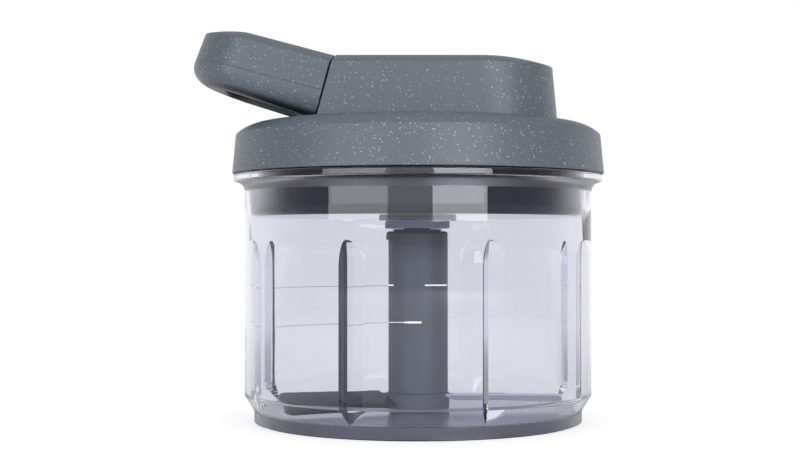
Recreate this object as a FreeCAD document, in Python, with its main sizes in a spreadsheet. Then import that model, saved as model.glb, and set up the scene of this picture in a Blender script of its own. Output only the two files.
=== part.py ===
import FreeCAD, Part
import math
import os
import Sketcher

# A pull-string food chopper: a clear bowl with a bladed spindle, closed by a lid that holds
# a cord spool. Pulling the handle out of the housing unwinds the cord, which turns the spool,
# the drive shaft and the blades. A spiral spring winds the cord back.
# Millimetres and degrees. The origin is the centre of the base's underside, +Z is up, and the
# handle points along -X.

SIZES = [
    # Fits shared by all pieces
    ("running_fit", 0.05, "radial clearance of a shaft in its bearing"),
    ("snug_fit", 0.02, "radial clearance of a piece fixed in its hole"),
    ("moving_gap", 0.3, "gap between two pieces that move past each other"),
    ("seat_gap", 0.05, "gap under a piece that rests in its seat"),
    # Bowl
    ("bowl_radius", 60.6, "outside of the clear wall"),
    ("bowl_wall", 1.6, "thickness of the clear wall"),
    ("floor_top", 4.5, "height of the bowl's floor inside"),
    ("floor_wall", 1.5, "thickness of the floor"),
    ("floor_corner", 9.0, "inside radius between floor and wall"),
    ("foot_inset", 3.3, "how far the foot skirt stands in from the wall"),
    ("foot_wall", 1.3, "thickness of the foot skirt"),
    ("foot_lift", 0.5, "height of the skirt's edge above the table"),
    ("foot_height", 4.1, "height of the foot skirt, up to the bevel"),
    ("bevel_height", 5.3, "height of the bevel between skirt and wall"),
    ("rim_width", 3.9, "how far the rim flange stands out of the wall"),
    ("rim_under", 83.2, "height of the flange's underside above the table"),
    ("rim_thickness", 3.1, "thickness of the flange"),
    ("rim_cove", 2.0, "radius of the cove under the flange"),
    ("lip_height", 2.3, "height of the lip above the flange"),
    ("pin_boss_radius", 6.0, "boss that holds the blade pin"),
    ("pin_boss_height", 1.5, "height of that boss above the floor"),
    ("rib_count", 8, "ribs on the inside of the wall"),
    ("rib_ramp", 6.4, "width of a rib's ramp, anticlockwise of its ridge"),
    ("rib_steep", 2.5, "width of its steep side, clockwise of its ridge"),
    ("rib_depth", 3.0, "how far a rib stands out of the wall"),
    ("rib_lift", 1.9, "height above the floor where a rib's ridge starts"),
    ("rib_drop", 19.6, "how far below the flange a rib ends"),
    ("rib_slope", 2.8, "height of the slanted facet at a rib's top"),
    ("rib_turn", -113.3, "direction of the first rib's ridge"),
    # Base pad
    ("pad_rim_width", 1.7, "width of the pad's raised rim"),
    ("pad_rim_height", 1.35, "height of the raised rim above the pad"),
    ("pad_chamfer", 0.6, "chamfer round the pad's underside"),
    # Blade unit
    ("pin_radius", 3.0, "steel pin in the bowl's floor"),
    ("pin_headroom", 12.2, "from the pin's tip to the bottom of the socket"),
    ("pin_round", 1.0, "rounding of the pin's tip"),
    ("bush_wall", 1.9, "wall of the bush on the pin"),
    ("bush_cap", 1.4, "thickness of the bush's closed end"),
    ("foot_collar_radius", 11.0, "collar that holds the blades"),
    ("foot_collar_rise", 5.9, "height of the collar's top above the floor"),
    ("collar_spigot_wall", 2.3, "wall of the spigot inside the spindle"),
    ("collar_spigot_height", 5.6, "height of the spigot above the collar"),
    ("spindle_radius", 10.45, "plain column of the blade unit"),
    ("spindle_gap", 1.0, "gap between the column and the lid's collar"),
    ("spindle_round", 1.0, "rounding of the column's top"),
    ("socket_room", 1.0, "room under the dog in the six-sided socket"),
    ("blade_thickness", 1.0, "sheet of the blades"),
    ("blade_tilt", 15.5, "tilt of a blade, leading edge low"),
    ("blade_clearance", 5.2, "from a blade's tip to the ribs"),
    ("blade_root", 12.6, "radius where the wing starts"),
    ("blade_leading", 8.4, "leading edge's distance from the middle line, at the tip"),
    ("blade_trailing", 8.6, "trailing edge's distance from the middle line, at the tip"),
    ("blade_waist", 1.4, "how much narrower the wing is at its root"),
    ("blade_tip_lag", 1.6, "how much shorter the trailing edge is"),
    ("blade_tip_round", 3.0, "rounding of the tip's leading corner"),
    ("blade_bevel", 0.6, "ground bevel of the leading edge"),
    ("tang_width", 10.0, "width of the tang in the collar"),
    ("tang_start", 7.7, "radius where the tang ends inside the collar"),
    ("lower_blade_lift", 3.0, "height of the lower blade's middle above the floor"),
    ("lower_blade_turn", 204.0, "direction of the lower blade"),
    ("upper_blade_lift", 3.5, "height of the upper blade's middle above the floor"),
    ("upper_blade_turn", 356.0, "direction of the upper blade"),
    # Lid plug
    ("plug_depth", 18.7, "depth of the plug below its flange"),
    ("plug_floor", 3.0, "thickness of the plug's floor"),
    ("plug_wall", 2.2, "thickness of the plug's skirt"),
    ("plug_round", 3.2, "rounding of the plug's lower edge"),
    ("seal_gap", 0.4, "gap between the bowl's lip and the sealing ring"),
    ("plug_flange", 2.0, "thickness of the flange"),
    ("collar_wide_radius", 13.4, "upper step of the collar under the plug"),
    ("collar_wide_height", 1.2, "height of the upper step"),
    ("collar_narrow_radius", 11.1, "lower step of the collar"),
    ("collar_narrow_height", 2.8, "height of the lower step"),
    ("seal_height", 1.5, "height of the sealing ring"),
    # Drive
    ("dog_neck_radius", 8.4, "neck between the collar and the spindle"),
    ("dog_radius", 8.0, "corner radius of the six-sided dog"),
    ("dog_height", 11.0, "height of the six-sided part"),
    ("dog_stem_radius", 4.5, "stem that runs in the lower bush"),
    ("lower_bush_wall", 1.5, "wall of the lower bush"),
    ("lower_bush_flange", 2.0, "how far its flange stands out"),
    ("lower_bush_flange_height", 1.2, "thickness of that flange"),
    ("shaft_radius", 3.0, "steel drive shaft"),
    ("dog_floor", 1.8, "solid bottom of the dog, below the shaft"),
    # Recoil spring and its cup
    ("cup_clearance", 8.0, "gap between the spring cup and the posts"),
    ("cup_wall", 1.5, "wall and floor of the spring cup"),
    ("strip_height", 8.0, "width of the spring strip"),
    ("strip_thickness", 0.5, "thickness of the spring strip"),
    ("strip_turns", 8, "turns of the spring at rest"),
    ("cover_thickness", 1.2, "plate over the spring"),
    # Spool
    ("arbor_radius", 6.0, "hub of the spool inside the spring"),
    ("spool_lift", 3.1, "height of the spool's lower flange above the lid"),
    ("spool_flange", 1.2, "thickness of a spool flange"),
    ("spool_flange_radius", 18.0, "outside of the flanges"),
    ("spool_core", 12.0, "radius that the cord is wound on"),
    ("winding_height", 7.0, "height of the wound cord"),
    ("winding_depth", 4.0, "depth of the wound cord"),
    ("ratchet_recess", 10.4, "radius of the recess for the ratchet"),
    ("ratchet_depth", 3.4, "depth of that recess"),
    ("ratchet_radius", 6.6, "tip radius of the ratchet wheel"),
    ("ratchet_tooth", 1.2, "height of a ratchet tooth"),
    ("ratchet_teeth", 12, "teeth of the ratchet wheel"),
    ("ratchet_thickness", 2.4, "thickness of the ratchet wheel"),
    ("pawl_width", 1.6, "width of a pawl"),
    ("pawl_length", 6.0, "length of a pawl"),
    ("clip_radius", 5.2, "outside of the clip on the shaft"),
    ("clip_thickness", 0.8, "thickness of the clip"),
    # Lid cover
    ("lid_overhang", 0.5, "how far the lid's lower edge stands out over the flange"),
    ("skirt_draft", 1.3, "how far the skirt leans in"),
    ("skirt_height", 13.6, "height of the skirt, up to the dome"),
    ("shoulder_width", 10.3, "width of the domed shoulder"),
    ("shoulder_rise", 4.0, "height of the domed shoulder"),
    ("lid_wall", 2.3, "thickness of the lid"),
    ("skirt_wall", 2.6, "thickness of the lid's skirt"),
    ("bearing_wall", 2.0, "wall of the spool bearing"),
    ("bearing_length", 8.0, "length of the spool bearing"),
    ("bearing_boss_wall", 2.2, "wall of the boss round the bearing"),
    ("plug_post_radius", 4.0, "posts that the plug is screwed to"),
    ("plug_post_inset", 11.4, "from the edge of the flat top to the posts' middles"),
    ("plug_post_count", 3, "posts that the plug is screwed to"),
    # Screws
    ("screw_radius", 1.5, "shank of every screw"),
    ("screw_head_radius", 2.8, "head of every screw"),
    ("screw_head_height", 1.5, "head of every screw"),
    ("screw_length", 12.0, "shank of every screw"),
    # Housing
    ("housing_half_width", 26.5, "half of the housing's width"),
    ("housing_wall", 2.2, "wall and roof of the housing"),
    ("housing_inset", 4.4, "from the edge of the lid's flat top to the round end's foot"),
    ("housing_draft", 1.8, "how far the round end leans in"),
    ("dome_width", 12.0, "width of the domed border on top of housing and handle"),
    ("dome_rise", 3.3, "height of that border above the upper edge"),
    ("dome_bulge", 0.3, "how far the middle of the border stands above its chord"),
    ("dome_tip_width", 9.0, "width of the border at the handle's tip"),
    ("seam_lean", 15.4, "lean of the seam from upright"),
    ("seam_gap", 0.5, "gap between housing and handle"),
    ("post_radius", 3.2, "screw posts inside the housing"),
    ("right_post_inset", 8.9, "posts by the round end, from its tip"),
    ("right_post_y", 9.5, "posts by the round end, distance from the middle plane"),
    ("left_post_setback", 4.8, "posts by the seam, from its upper edge"),
    ("left_post_inset", 6.9, "posts by the seam, from the housing's side"),
    # Handle
    ("seam_setback", 23.9, "from the edge of the flat top to the seam's upper edge"),
    ("handle_drop", 0.1, "how far the handle's upper edge lies below the housing's"),
    ("handle_tilt", 14.8, "tilt of the handle, and of the pull"),
    ("handle_clearance", 0.7, "gap between the lid and the handle's underside, at the seam"),
    ("handle_length", 47.6, "length from the seam to the tip, at the parting line"),
    ("handle_draft", 1.1, "how far the tip leans in towards the upper edge"),
    ("tip_reach", 19.5, "length of the curved end in plan"),
    ("tip_corner", 13.5, "radius where the curved end leaves the sides"),
    ("top_shell_depth", 10.2, "thickness of the upper shell, at its edge"),
    ("grip_depth", 9.3, "thickness of the lower shell, at the seam"),
    ("grip_taper", 2.7, "slope of the underside against the parting line"),
    ("grip_round", 6.7, "rounding of the lower edge"),
    ("hollow_half_width", 15.5, "half of the finger hollow's width"),
    ("hollow_reach", 35.0, "from the seam to the hollow's far end"),
    ("hollow_corner", 8.0, "rounding of the hollow's far corners"),
    ("hollow_round", 1.0, "rounding of the hollow's lower edge"),
    ("handle_roof", 2.2, "roof over the hollow, below the upper edge"),
    ("bulkhead", 9.0, "thickness of the end that holds the cord"),
    ("handle_screw_y", 14.0, "handle screws, distance from the middle plane"),
    ("handle_screw_x", 5.0, "handle screws, distance from the seam"),
    ("handle_screw_length", 9.0, "shank of a handle screw"),
    # Cord
    ("cord_radius", 1.1, "radius of the pull cord"),
    ("ferrule_radius", 3.0, "end piece of the cord"),
    ("ferrule_length", 4.0, "length of the end piece"),
    ("ferrule_setback", 3.7, "distance of the end piece from the seam"),
    ("guide_bore", 1.6, "bore of the cord guide"),
    ("guide_wall", 2.0, "wall of the cord guide"),
    ("guide_nose", 1.5, "how far the guide stands out of the housing"),
    ("guide_flange", 1.4, "how far its inner flange stands out"),
    ("guide_flange_length", 1.2, "thickness of the inner flange"),
    ("cord_straight", 7.0, "straight stretch of cord inside the guide"),
]

doc = FreeCAD.newDocument("FoodChopper")
sheet = doc.addObject("Spreadsheet::Sheet", "Sizes")
for row, (alias, number, note) in enumerate(SIZES, start=1):
    sheet.set(f"A{row}", note)
    sheet.set(f"B{row}", str(number))
    sheet.setAlias(f"B{row}", alias)
doc.recompute()

Z_AXIS, Y_AXIS, X_AXIS = (0, 0, 1), (0, 1, 0), (1, 0, 0)
TOUCH = 1e-3
QUARTER_TURN = 90


class Dim:
    """A number together with the sheet expression that gives it."""

    def __init__(self, value, text):
        self.value = float(value)
        self.text = text

    def __add__(self, other):
        other = as_dim(other)
        return Dim(self.value + other.value, f"({self.text} + {other.text})")

    def __sub__(self, other):
        other = as_dim(other)
        return Dim(self.value - other.value, f"({self.text} - {other.text})")

    def __mul__(self, other):
        other = as_dim(other)
        return Dim(self.value * other.value, f"({self.text} * {other.text})")

    def __truediv__(self, other):
        other = as_dim(other)
        return Dim(self.value / other.value, f"({self.text} / {other.text})")

    def __neg__(self):
        return Dim(-self.value, f"(0 - {self.text})")

    def __radd__(self, other):
        return as_dim(other) + self

    def __rsub__(self, other):
        return as_dim(other) - self

    def __rmul__(self, other):
        return as_dim(other) * self


def as_dim(number):
    return number if isinstance(number, Dim) else Dim(number, str(number))


def sine(angle):
    return Dim(math.sin(math.radians(angle.value)), f"sin({angle.text} * 1deg)")


def cosine(angle):
    return Dim(math.cos(math.radians(angle.value)), f"cos({angle.text} * 1deg)")


def tangent(angle):
    return Dim(math.tan(math.radians(angle.value)), f"tan({angle.text} * 1deg)")


class SheetSizes:
    """The sheet's cells by name, each as a Dim."""

    def __getattr__(self, alias):
        return Dim(sheet.get(alias), f"Sizes.{alias}")


s = SheetSizes()

# Radii and heights that follow from the sizes, from the bowl outwards and upwards.
bowl_inner = s.bowl_radius - s.bowl_wall
foot_radius = s.bowl_radius - s.foot_inset
rim_radius = s.bowl_radius + s.rim_width
lid_radius = rim_radius + s.lid_overhang
crease_radius = lid_radius - s.skirt_draft
plateau_radius = crease_radius - s.shoulder_width
plug_post_circle = plateau_radius - s.plug_post_inset
cup_radius = plug_post_circle - s.plug_post_radius - s.cup_clearance
housing_end_foot = plateau_radius - s.housing_inset - s.housing_half_width
housing_end_top = housing_end_foot - s.housing_draft
handle_corner_x = s.seam_setback - plateau_radius

foot_top = s.foot_lift + s.foot_height
bevel_top = foot_top + s.bevel_height
rim_top = s.rim_under + s.rim_thickness
lip_top = rim_top + s.lip_height
rib_foot = s.floor_top + s.rib_lift
rib_top = s.rim_under - s.rib_drop
plug_flange_under = lip_top + s.seal_gap + s.seal_height
plug_bottom = plug_flange_under - s.plug_depth
collar_wide_under = plug_bottom - s.collar_wide_height
collar_narrow_under = collar_wide_under - s.collar_narrow_height
spindle_top = collar_narrow_under - s.spindle_gap
dog_bottom = spindle_top - s.dog_height
socket_bottom = dog_bottom - s.socket_room
shaft_bottom = dog_bottom + s.dog_floor
pin_top = socket_bottom - s.pin_headroom
pin_boss_top = s.floor_top + s.pin_boss_height
foot_collar_top = s.floor_top + s.foot_collar_rise
collar_spigot_top = foot_collar_top + s.collar_spigot_height
lid_edge = rim_top + s.moving_gap
crease_height = lid_edge + s.skirt_height
plateau = crease_height + s.shoulder_rise
spool_bottom = plateau + s.spool_lift
handle_depth = s.top_shell_depth + s.grip_depth
handle_corner_z = plateau + s.handle_clearance + handle_depth * (
    cosine(s.handle_tilt) - tangent(s.seam_lean - s.handle_tilt) * sine(s.handle_tilt)
)
housing_edge = handle_corner_z + s.handle_drop


def bind(item, **properties):
    """Sets properties of a document object and ties them to the sheet."""
    for name, number in properties.items():
        number = as_dim(number)
        setattr(item, name, number.value)
        item.setExpression(name, number.text)
    return item


def place(item, base, *turns, start=(0, 0, 0)):
    """Shifts an object by start, turns it by each (axis, angle), the last one first, and
    then puts it at base."""
    spot, before = (", ".join(as_dim(part).text for part in where) for where in (base, start))
    still = "rotation(vector(0, 0, 1), 0deg)"
    spin = " * ".join(
        f"rotation(vector{axis}, {as_dim(angle).text} * 1deg)" for axis, angle in turns
    )
    moved = f"placement(vector({spot}), {spin or still}) * placement(vector({before}), {still})"
    item.setExpression("Placement", moved)
    return item


def new_body(label):
    body = doc.addObject("PartDesign::Body", label)
    body.Label = label
    return body


def new_sketch(body, plane, lift=0):
    """An empty sketch on one of the body's own planes, lifted along its normal."""
    sketch = body.newObject("Sketcher::SketchObject", "outline")
    support = next(item for item in body.Origin.OriginFeatures if item.Role == plane)
    sketch.AttachmentSupport = [(support, "")]
    sketch.MapMode = "FlatFace"
    lift = as_dim(lift)
    sketch.AttachmentOffset = FreeCAD.Placement(
        FreeCAD.Vector(0, 0, lift.value), FreeCAD.Rotation()
    )
    sketch.setExpression("AttachmentOffset.Base.z", lift.text)
    return sketch


def tie(sketch, kind, *where, number):
    """Adds a dimension to a sketch and binds it."""
    number = as_dim(number)
    index = sketch.addConstraint(Sketcher.Constraint(kind, *where, number.value))
    sketch.setExpression(f"Constraints[{index}]", number.text)


def draw(sketch, corners):
    """Draws a closed outline through the corners, (x, y) each. A corner with a third entry
    starts an arc to the next one, and the entry is the x of that arc's centre."""
    ends = []
    for index, corner in enumerate(corners):
        following = corners[(index + 1) % len(corners)]
        start = FreeCAD.Vector(as_dim(corner[0]).value, as_dim(corner[1]).value, 0)
        end = FreeCAD.Vector(as_dim(following[0]).value, as_dim(following[1]).value, 0)
        if len(corner) == 2:
            sketch.addGeometry(Part.LineSegment(start, end), False)
            ends.append((1, 2))
            continue
        across = as_dim(corner[2]).value
        up = (
            (end.x - across) ** 2 - (start.x - across) ** 2 + end.y ** 2 - start.y ** 2
        ) / (2 * (end.y - start.y))
        centre = FreeCAD.Vector(across, up, 0)
        first = math.atan2(start.y - up, start.x - across)
        last = math.atan2(end.y - up, end.x - across)
        anticlockwise = (last - first) % (2 * math.pi) < math.pi
        if not anticlockwise:
            first, last = last, first
        circle = Part.Circle(centre, FreeCAD.Vector(*Z_AXIS), start.distanceToPoint(centre))
        sketch.addGeometry(Part.ArcOfCircle(circle, first, last), False)
        ends.append((1, 2) if anticlockwise else (2, 1))
    for index, (_, end) in enumerate(ends):
        following = (index + 1) % len(ends)
        joint = Sketcher.Constraint("Coincident", index, end, following, ends[following][0])
        sketch.addConstraint(joint)
    for index, corner in enumerate(corners):
        tie(sketch, "DistanceX", -1, 1, index, ends[index][0], number=corner[0])
        tie(sketch, "DistanceY", -1, 1, index, ends[index][0], number=corner[1])
        if len(corner) == 3:
            tie(sketch, "DistanceX", -1, 1, index, 3, number=corner[2])
    return sketch


def turn(body, corners):
    """Turns a profile of (radius, height) corners about the body's Z axis."""
    sketch = draw(new_sketch(body, "XZ_Plane"), corners)
    turned = body.newObject("PartDesign::Revolution", "turned")
    turned.Profile = sketch
    turned.ReferenceAxis = (sketch, ["V_Axis"])
    turned.Angle = 360
    doc.recompute()
    return turned


def ring(label, inner, outer, bottom, top):
    """A plain ring, or a disc where inner is 0, as a body of its own."""
    body = new_body(label)
    turn(body, [(inner, bottom), (outer, bottom), (outer, top), (inner, top)])
    return body


def extrude(body, corners, bottom, height):
    """Pads an outline of (x, y) corners upwards."""
    pad = body.newObject("PartDesign::Pad", "pad")
    pad.Profile = draw(new_sketch(body, "XY_Plane", bottom), corners)
    bind(pad, Length=height)
    doc.recompute()
    return pad


def post(body, kind, x, y, bottom, radius, height):
    """Adds or cuts an upright cylinder; kind is Additive or Subtractive."""
    cylinder = body.newObject(f"PartDesign::{kind}Cylinder", "post")
    cylinder.MapMode = "Deactivated"
    bind(cylinder, Radius=radius, Height=height)
    place(cylinder, (x, y, bottom))
    doc.recompute()
    return cylinder


def bore_along_x(body, kind, start, end, height, radius):
    """Adds or cuts a cylinder that runs along X from start to end."""
    cylinder = body.newObject(f"PartDesign::{kind}Cylinder", "bore")
    cylinder.MapMode = "Deactivated"
    bind(cylinder, Radius=radius, Height=end - start)
    place(cylinder, (start, 0, height), (Y_AXIS, QUARTER_TURN))
    doc.recompute()
    return cylinder


def loft(body, kind, *outlines):
    """Joins outlines, each (corners, height), upwards with straight flanks; kind is Additive
    or Subtractive."""
    sections = []
    for corners, height in outlines:
        sections.append(draw(new_sketch(body, "XY_Plane", height), corners))
    joined = body.newObject(f"PartDesign::{kind}Loft", "loft")
    joined.Profile = sections[0]
    joined.Sections = sections[1:]
    joined.Ruled = True
    doc.recompute()
    return joined


def soften(body, radius, wanted, kind="Fillet"):
    """Rounds or chamfers the edges of the body's tip that wanted() picks."""
    base = body.Tip
    names = [
        f"Edge{index}" for index, edge in enumerate(base.Shape.Edges, start=1) if wanted(edge)
    ]
    if not names:
        raise RuntimeError(f"{body.Label}: no edge to soften")
    feature = body.newObject(f"PartDesign::{kind}", kind.lower())
    feature.Base = (base, names)
    bind(feature, **{"Radius" if kind == "Fillet" else "Size": radius})
    doc.recompute()
    return feature


# The bowl: one clear moulding, turned, with its wedge-shaped ribs round the inside.
floor_under = s.floor_top - s.floor_wall
foot_inner = foot_radius - s.foot_wall
groove_inner = foot_inner - s.pad_rim_width - 2 * s.seat_gap
pad_top = floor_under - s.seat_gap
pad_rim_top = pad_top + s.pad_rim_height
pin_hole = s.pin_radius + s.snug_fit

bowl = new_body("bowl")
turn(bowl, [
    (pin_hole, floor_under),
    (groove_inner, floor_under),
    (groove_inner, pad_rim_top + s.seat_gap),
    (foot_inner, pad_rim_top + s.seat_gap),
    (foot_inner, s.foot_lift),
    (foot_radius, s.foot_lift),
    (foot_radius, foot_top),
    (s.bowl_radius, bevel_top),
    (s.bowl_radius, s.rim_under - s.rim_cove, s.bowl_radius + s.rim_cove),
    (s.bowl_radius + s.rim_cove, s.rim_under),
    (rim_radius, s.rim_under),
    (rim_radius, rim_top),
    (s.bowl_radius, rim_top),
    (s.bowl_radius, lip_top),
    (bowl_inner, lip_top),
    (bowl_inner, s.floor_top + s.floor_corner, bowl_inner - s.floor_corner),
    (bowl_inner - s.floor_corner, s.floor_top),
    (s.pin_boss_radius, s.floor_top),
    (s.pin_boss_radius, pin_boss_top),
    (pin_hole, pin_boss_top),
])

rib_root = s.rib_depth + s.bowl_wall / 2
rib = bowl.newObject("PartDesign::AdditiveWedge", "rib")
rib.MapMode = "Deactivated"
bind(
    rib,
    Xmin=-s.rib_steep, Xmax=s.rib_ramp, X2min=0, X2max=0,
    Ymin=0, Ymax=rib_root,
    Zmin=bevel_top - rib_foot, Zmax=rib_top - rib_foot,
    Z2min=0, Z2max=rib_top - rib_foot - s.rib_slope,
)
rib_plane = bowl_inner + s.bowl_wall / 2
place(
    rib,
    (rib_plane * cosine(s.rib_turn), rib_plane * sine(s.rib_turn), rib_foot),
    (Z_AXIS, s.rib_turn + QUARTER_TURN),
)
doc.recompute()
ribs = bowl.newObject("PartDesign::PolarPattern", "ribs")
ribs.Originals = [rib]
ribs.Axis = (bowl.Group[0], ["V_Axis"])
ribs.Angle = 360
ribs.setExpression("Occurrences", s.rib_count.text)
bowl.Tip = ribs
doc.recompute()

# The base pad: a rubbery disc whose raised rim sits in the groove behind the foot skirt.
pad_radius = foot_inner - s.seat_gap
base_pad = new_body("base_pad")
turn(base_pad, [
    (0, 0),
    (pad_radius - s.pad_chamfer, 0),
    (pad_radius, s.pad_chamfer),
    (pad_radius, pad_rim_top),
    (pad_radius - s.pad_rim_width, pad_rim_top),
    (pad_radius - s.pad_rim_width, pad_top),
    (0, pad_top),
])

# The steel pin that the blade unit turns on.
blade_pin = new_body("blade_pin")
turn(blade_pin, [
    (0, floor_under),
    (s.pin_radius, floor_under),
    (s.pin_radius, pin_top - s.pin_round, s.pin_radius - s.pin_round),
    (s.pin_radius - s.pin_round, pin_top),
    (0, pin_top),
])

# The bush inside the spindle, closed at its top, where it bears on the pin's tip.
bush_inner = s.pin_radius + s.running_fit
bush_outer = bush_inner + s.bush_wall
bush_ceiling = pin_top + s.moving_gap
bush_bottom = pin_boss_top + s.moving_gap
spindle_bush = new_body("spindle_bush")
turn(spindle_bush, [
    (bush_inner, bush_bottom),
    (bush_outer, bush_bottom),
    (bush_outer, bush_ceiling + s.bush_cap),
    (0, bush_ceiling + s.bush_cap),
    (0, bush_ceiling),
    (bush_inner, bush_ceiling),
])

# The spindle: a plain column on the foot's spigot, with a six-sided socket in its top.
bush_hole = bush_outer + s.snug_fit
spigot_radius = bush_hole + s.collar_spigot_wall
spindle = new_body("blade_spindle")
turn(spindle, [
    (spigot_radius + s.snug_fit, foot_collar_top),
    (s.spindle_radius, foot_collar_top),
    (s.spindle_radius, spindle_top - s.spindle_round, s.spindle_radius - s.spindle_round),
    (s.spindle_radius - s.spindle_round, spindle_top),
    (0, spindle_top),
    (0, bush_ceiling + s.bush_cap + s.seat_gap),
    (bush_hole, bush_ceiling + s.bush_cap + s.seat_gap),
    (bush_hole, collar_spigot_top + s.seat_gap),
    (spigot_radius + s.snug_fit, collar_spigot_top + s.seat_gap),
])
socket = spindle.newObject("PartDesign::SubtractivePrism", "socket")
socket.MapMode = "Deactivated"
socket.Polygon = 6
bind(socket, Circumradius=s.dog_radius + s.moving_gap, Height=spindle_top - socket_bottom)
place(socket, (0, 0, socket_bottom))
doc.recompute()

# The foot collar: it clamps the tangs of both blades in slots at the blades' tilt.
collar_bottom = s.floor_top + s.moving_gap + s.seat_gap
boss_clearance = s.pin_boss_radius + s.moving_gap
spindle_foot = new_body("spindle_foot")
turn(spindle_foot, [
    (boss_clearance, collar_bottom),
    (s.foot_collar_radius, collar_bottom),
    (s.foot_collar_radius, foot_collar_top),
    (spigot_radius, foot_collar_top),
    (spigot_radius, collar_spigot_top),
    (bush_hole, collar_spigot_top),
    (bush_hole, pin_boss_top + s.moving_gap),
    (boss_clearance, pin_boss_top + s.moving_gap),
])
BLADES = [
    ("lower_blade", s.floor_top + s.lower_blade_lift, s.lower_blade_turn),
    ("upper_blade", s.floor_top + s.upper_blade_lift, s.upper_blade_turn),
]
for label, height, direction in BLADES:
    slot = spindle_foot.newObject("PartDesign::SubtractiveBox", "slot")
    slot.MapMode = "Deactivated"
    bind(
        slot,
        Length=s.foot_collar_radius,
        Width=s.tang_width + 2 * s.snug_fit,
        Height=s.blade_thickness + 2 * s.snug_fit,
    )
    place(
        slot, (0, 0, height), (Z_AXIS, direction), (X_AXIS, -s.blade_tilt),
        start=(
            s.tang_start - s.snug_fit,
            -s.tang_width / 2 - s.snug_fit,
            -s.blade_thickness / 2 - s.snug_fit,
        ),
    )
    doc.recompute()


blade_reach = bowl_inner - s.rib_depth - s.blade_clearance


def make_blade(label, height, direction):
    """A tilted wing of steel sheet with a tang; +Y of its own frame is the leading side."""
    body = new_body(label)
    half = s.blade_thickness / 2
    root_lead = s.blade_leading - s.blade_waist
    root_trail = s.blade_trailing - s.blade_waist
    extrude(body, [
        (s.tang_start, -s.tang_width / 2),
        (s.blade_root, -s.tang_width / 2),
        (s.blade_root, -root_trail),
        (blade_reach - s.blade_tip_lag, -s.blade_trailing),
        (blade_reach, s.blade_leading),
        (s.blade_root, root_lead),
        (s.blade_root, s.tang_width / 2),
        (s.tang_start, s.tang_width / 2),
    ], -half, s.blade_thickness)

    def tip_corner(edge):
        box = edge.BoundBox
        upright = box.ZLength > s.blade_thickness.value / 2
        at_tip = abs(box.XMin - blade_reach.value) < TOUCH
        return upright and at_tip

    soften(body, s.blade_tip_round, tip_corner)

    def cutting_edge(edge):
        box = edge.BoundBox
        middle = edge.valueAt((edge.FirstParameter + edge.LastParameter) / 2)
        on_top = box.ZMin > 0
        outside = middle.x > s.blade_root.value + 1
        return on_top and outside and middle.y > s.tang_width.value / 2

    soften(body, s.blade_bevel, cutting_edge, kind="Chamfer")
    place(body, (0, 0, height), (Z_AXIS, direction), (X_AXIS, -s.blade_tilt))
    return body


blades = [make_blade(*blade) for blade in BLADES]

# The lid's plug: skirt, floor and stepped collar in one, with a flange that the cover holds.
plug_radius = bowl_inner - s.moving_gap
plug_floor_top = plug_bottom + s.plug_floor
plug_flange_top = plug_flange_under + s.plug_flange
flange_radius = lid_radius - s.skirt_wall - s.seat_gap
lower_bush_inner = s.dog_stem_radius + s.running_fit
lower_bush_outer = lower_bush_inner + s.lower_bush_wall
lower_bush_hole = lower_bush_outer + s.snug_fit
lid_plug = new_body("lid_plug")
turn(lid_plug, [
    (lower_bush_hole, collar_narrow_under),
    (s.collar_narrow_radius, collar_narrow_under),
    (s.collar_narrow_radius, collar_wide_under),
    (s.collar_wide_radius, collar_wide_under),
    (s.collar_wide_radius, plug_bottom),
    (plug_radius - s.plug_round, plug_bottom, plug_radius - s.plug_round),
    (plug_radius, plug_bottom + s.plug_round),
    (plug_radius, plug_flange_under),
    (flange_radius, plug_flange_under),
    (flange_radius, plug_flange_top),
    (plug_radius - s.plug_wall, plug_flange_top),
    (plug_radius - s.plug_wall, plug_floor_top),
    (lower_bush_hole, plug_floor_top),
])


def on_circle(radius, count):
    """Places spread evenly on a circle, the first one towards +Y."""
    for index in range(count):
        angle = as_dim(QUARTER_TURN + 360 * index / count)
        yield radius * cosine(angle), radius * sine(angle)


plug_posts = list(on_circle(plug_post_circle, int(s.plug_post_count.value)))
head_room = s.screw_head_height + s.seat_gap
for x, y in plug_posts:
    post(lid_plug, "Subtractive", x, y, plug_bottom, s.screw_radius + s.seat_gap, s.plug_floor)
    post(lid_plug, "Subtractive", x, y, plug_bottom, s.screw_head_radius + s.seat_gap, head_room)

# The sealing ring under the plug's flange, just above the bowl's lip.
seal = ring(
    "sealing_ring",
    plug_radius + s.seat_gap,
    s.bowl_radius + s.seat_gap,
    plug_flange_under - s.seal_height,
    plug_flange_under,
)

# The plain bush in the plug's collar, flanged on the plug's floor.
bush_flange_radius = lower_bush_outer + s.lower_bush_flange
bush_flange_top = plug_floor_top + s.lower_bush_flange_height
shaft_bush = new_body("shaft_bush")
turn(shaft_bush, [
    (lower_bush_inner, collar_narrow_under),
    (lower_bush_outer, collar_narrow_under),
    (lower_bush_outer, plug_floor_top),
    (bush_flange_radius, plug_floor_top),
    (bush_flange_radius, bush_flange_top),
    (lower_bush_inner, bush_flange_top),
])

# The cup that holds the recoil spring, on the plug's floor, and the plate that closes it.
cup_floor_top = plug_floor_top + s.cup_wall
cup_top = cup_floor_top + s.strip_height + 2 * s.moving_gap
spring_cup = new_body("spring_cup")
turn(spring_cup, [
    (bush_flange_radius + s.moving_gap, plug_floor_top),
    (cup_radius, plug_floor_top),
    (cup_radius, cup_top),
    (cup_radius - s.cup_wall, cup_top),
    (cup_radius - s.cup_wall, cup_floor_top),
    (bush_flange_radius + s.moving_gap, cup_floor_top),
])
spring_cover = ring(
    "spring_cover",
    s.arbor_radius + s.moving_gap,
    cup_radius,
    cup_top,
    cup_top + s.cover_thickness,
)

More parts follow.
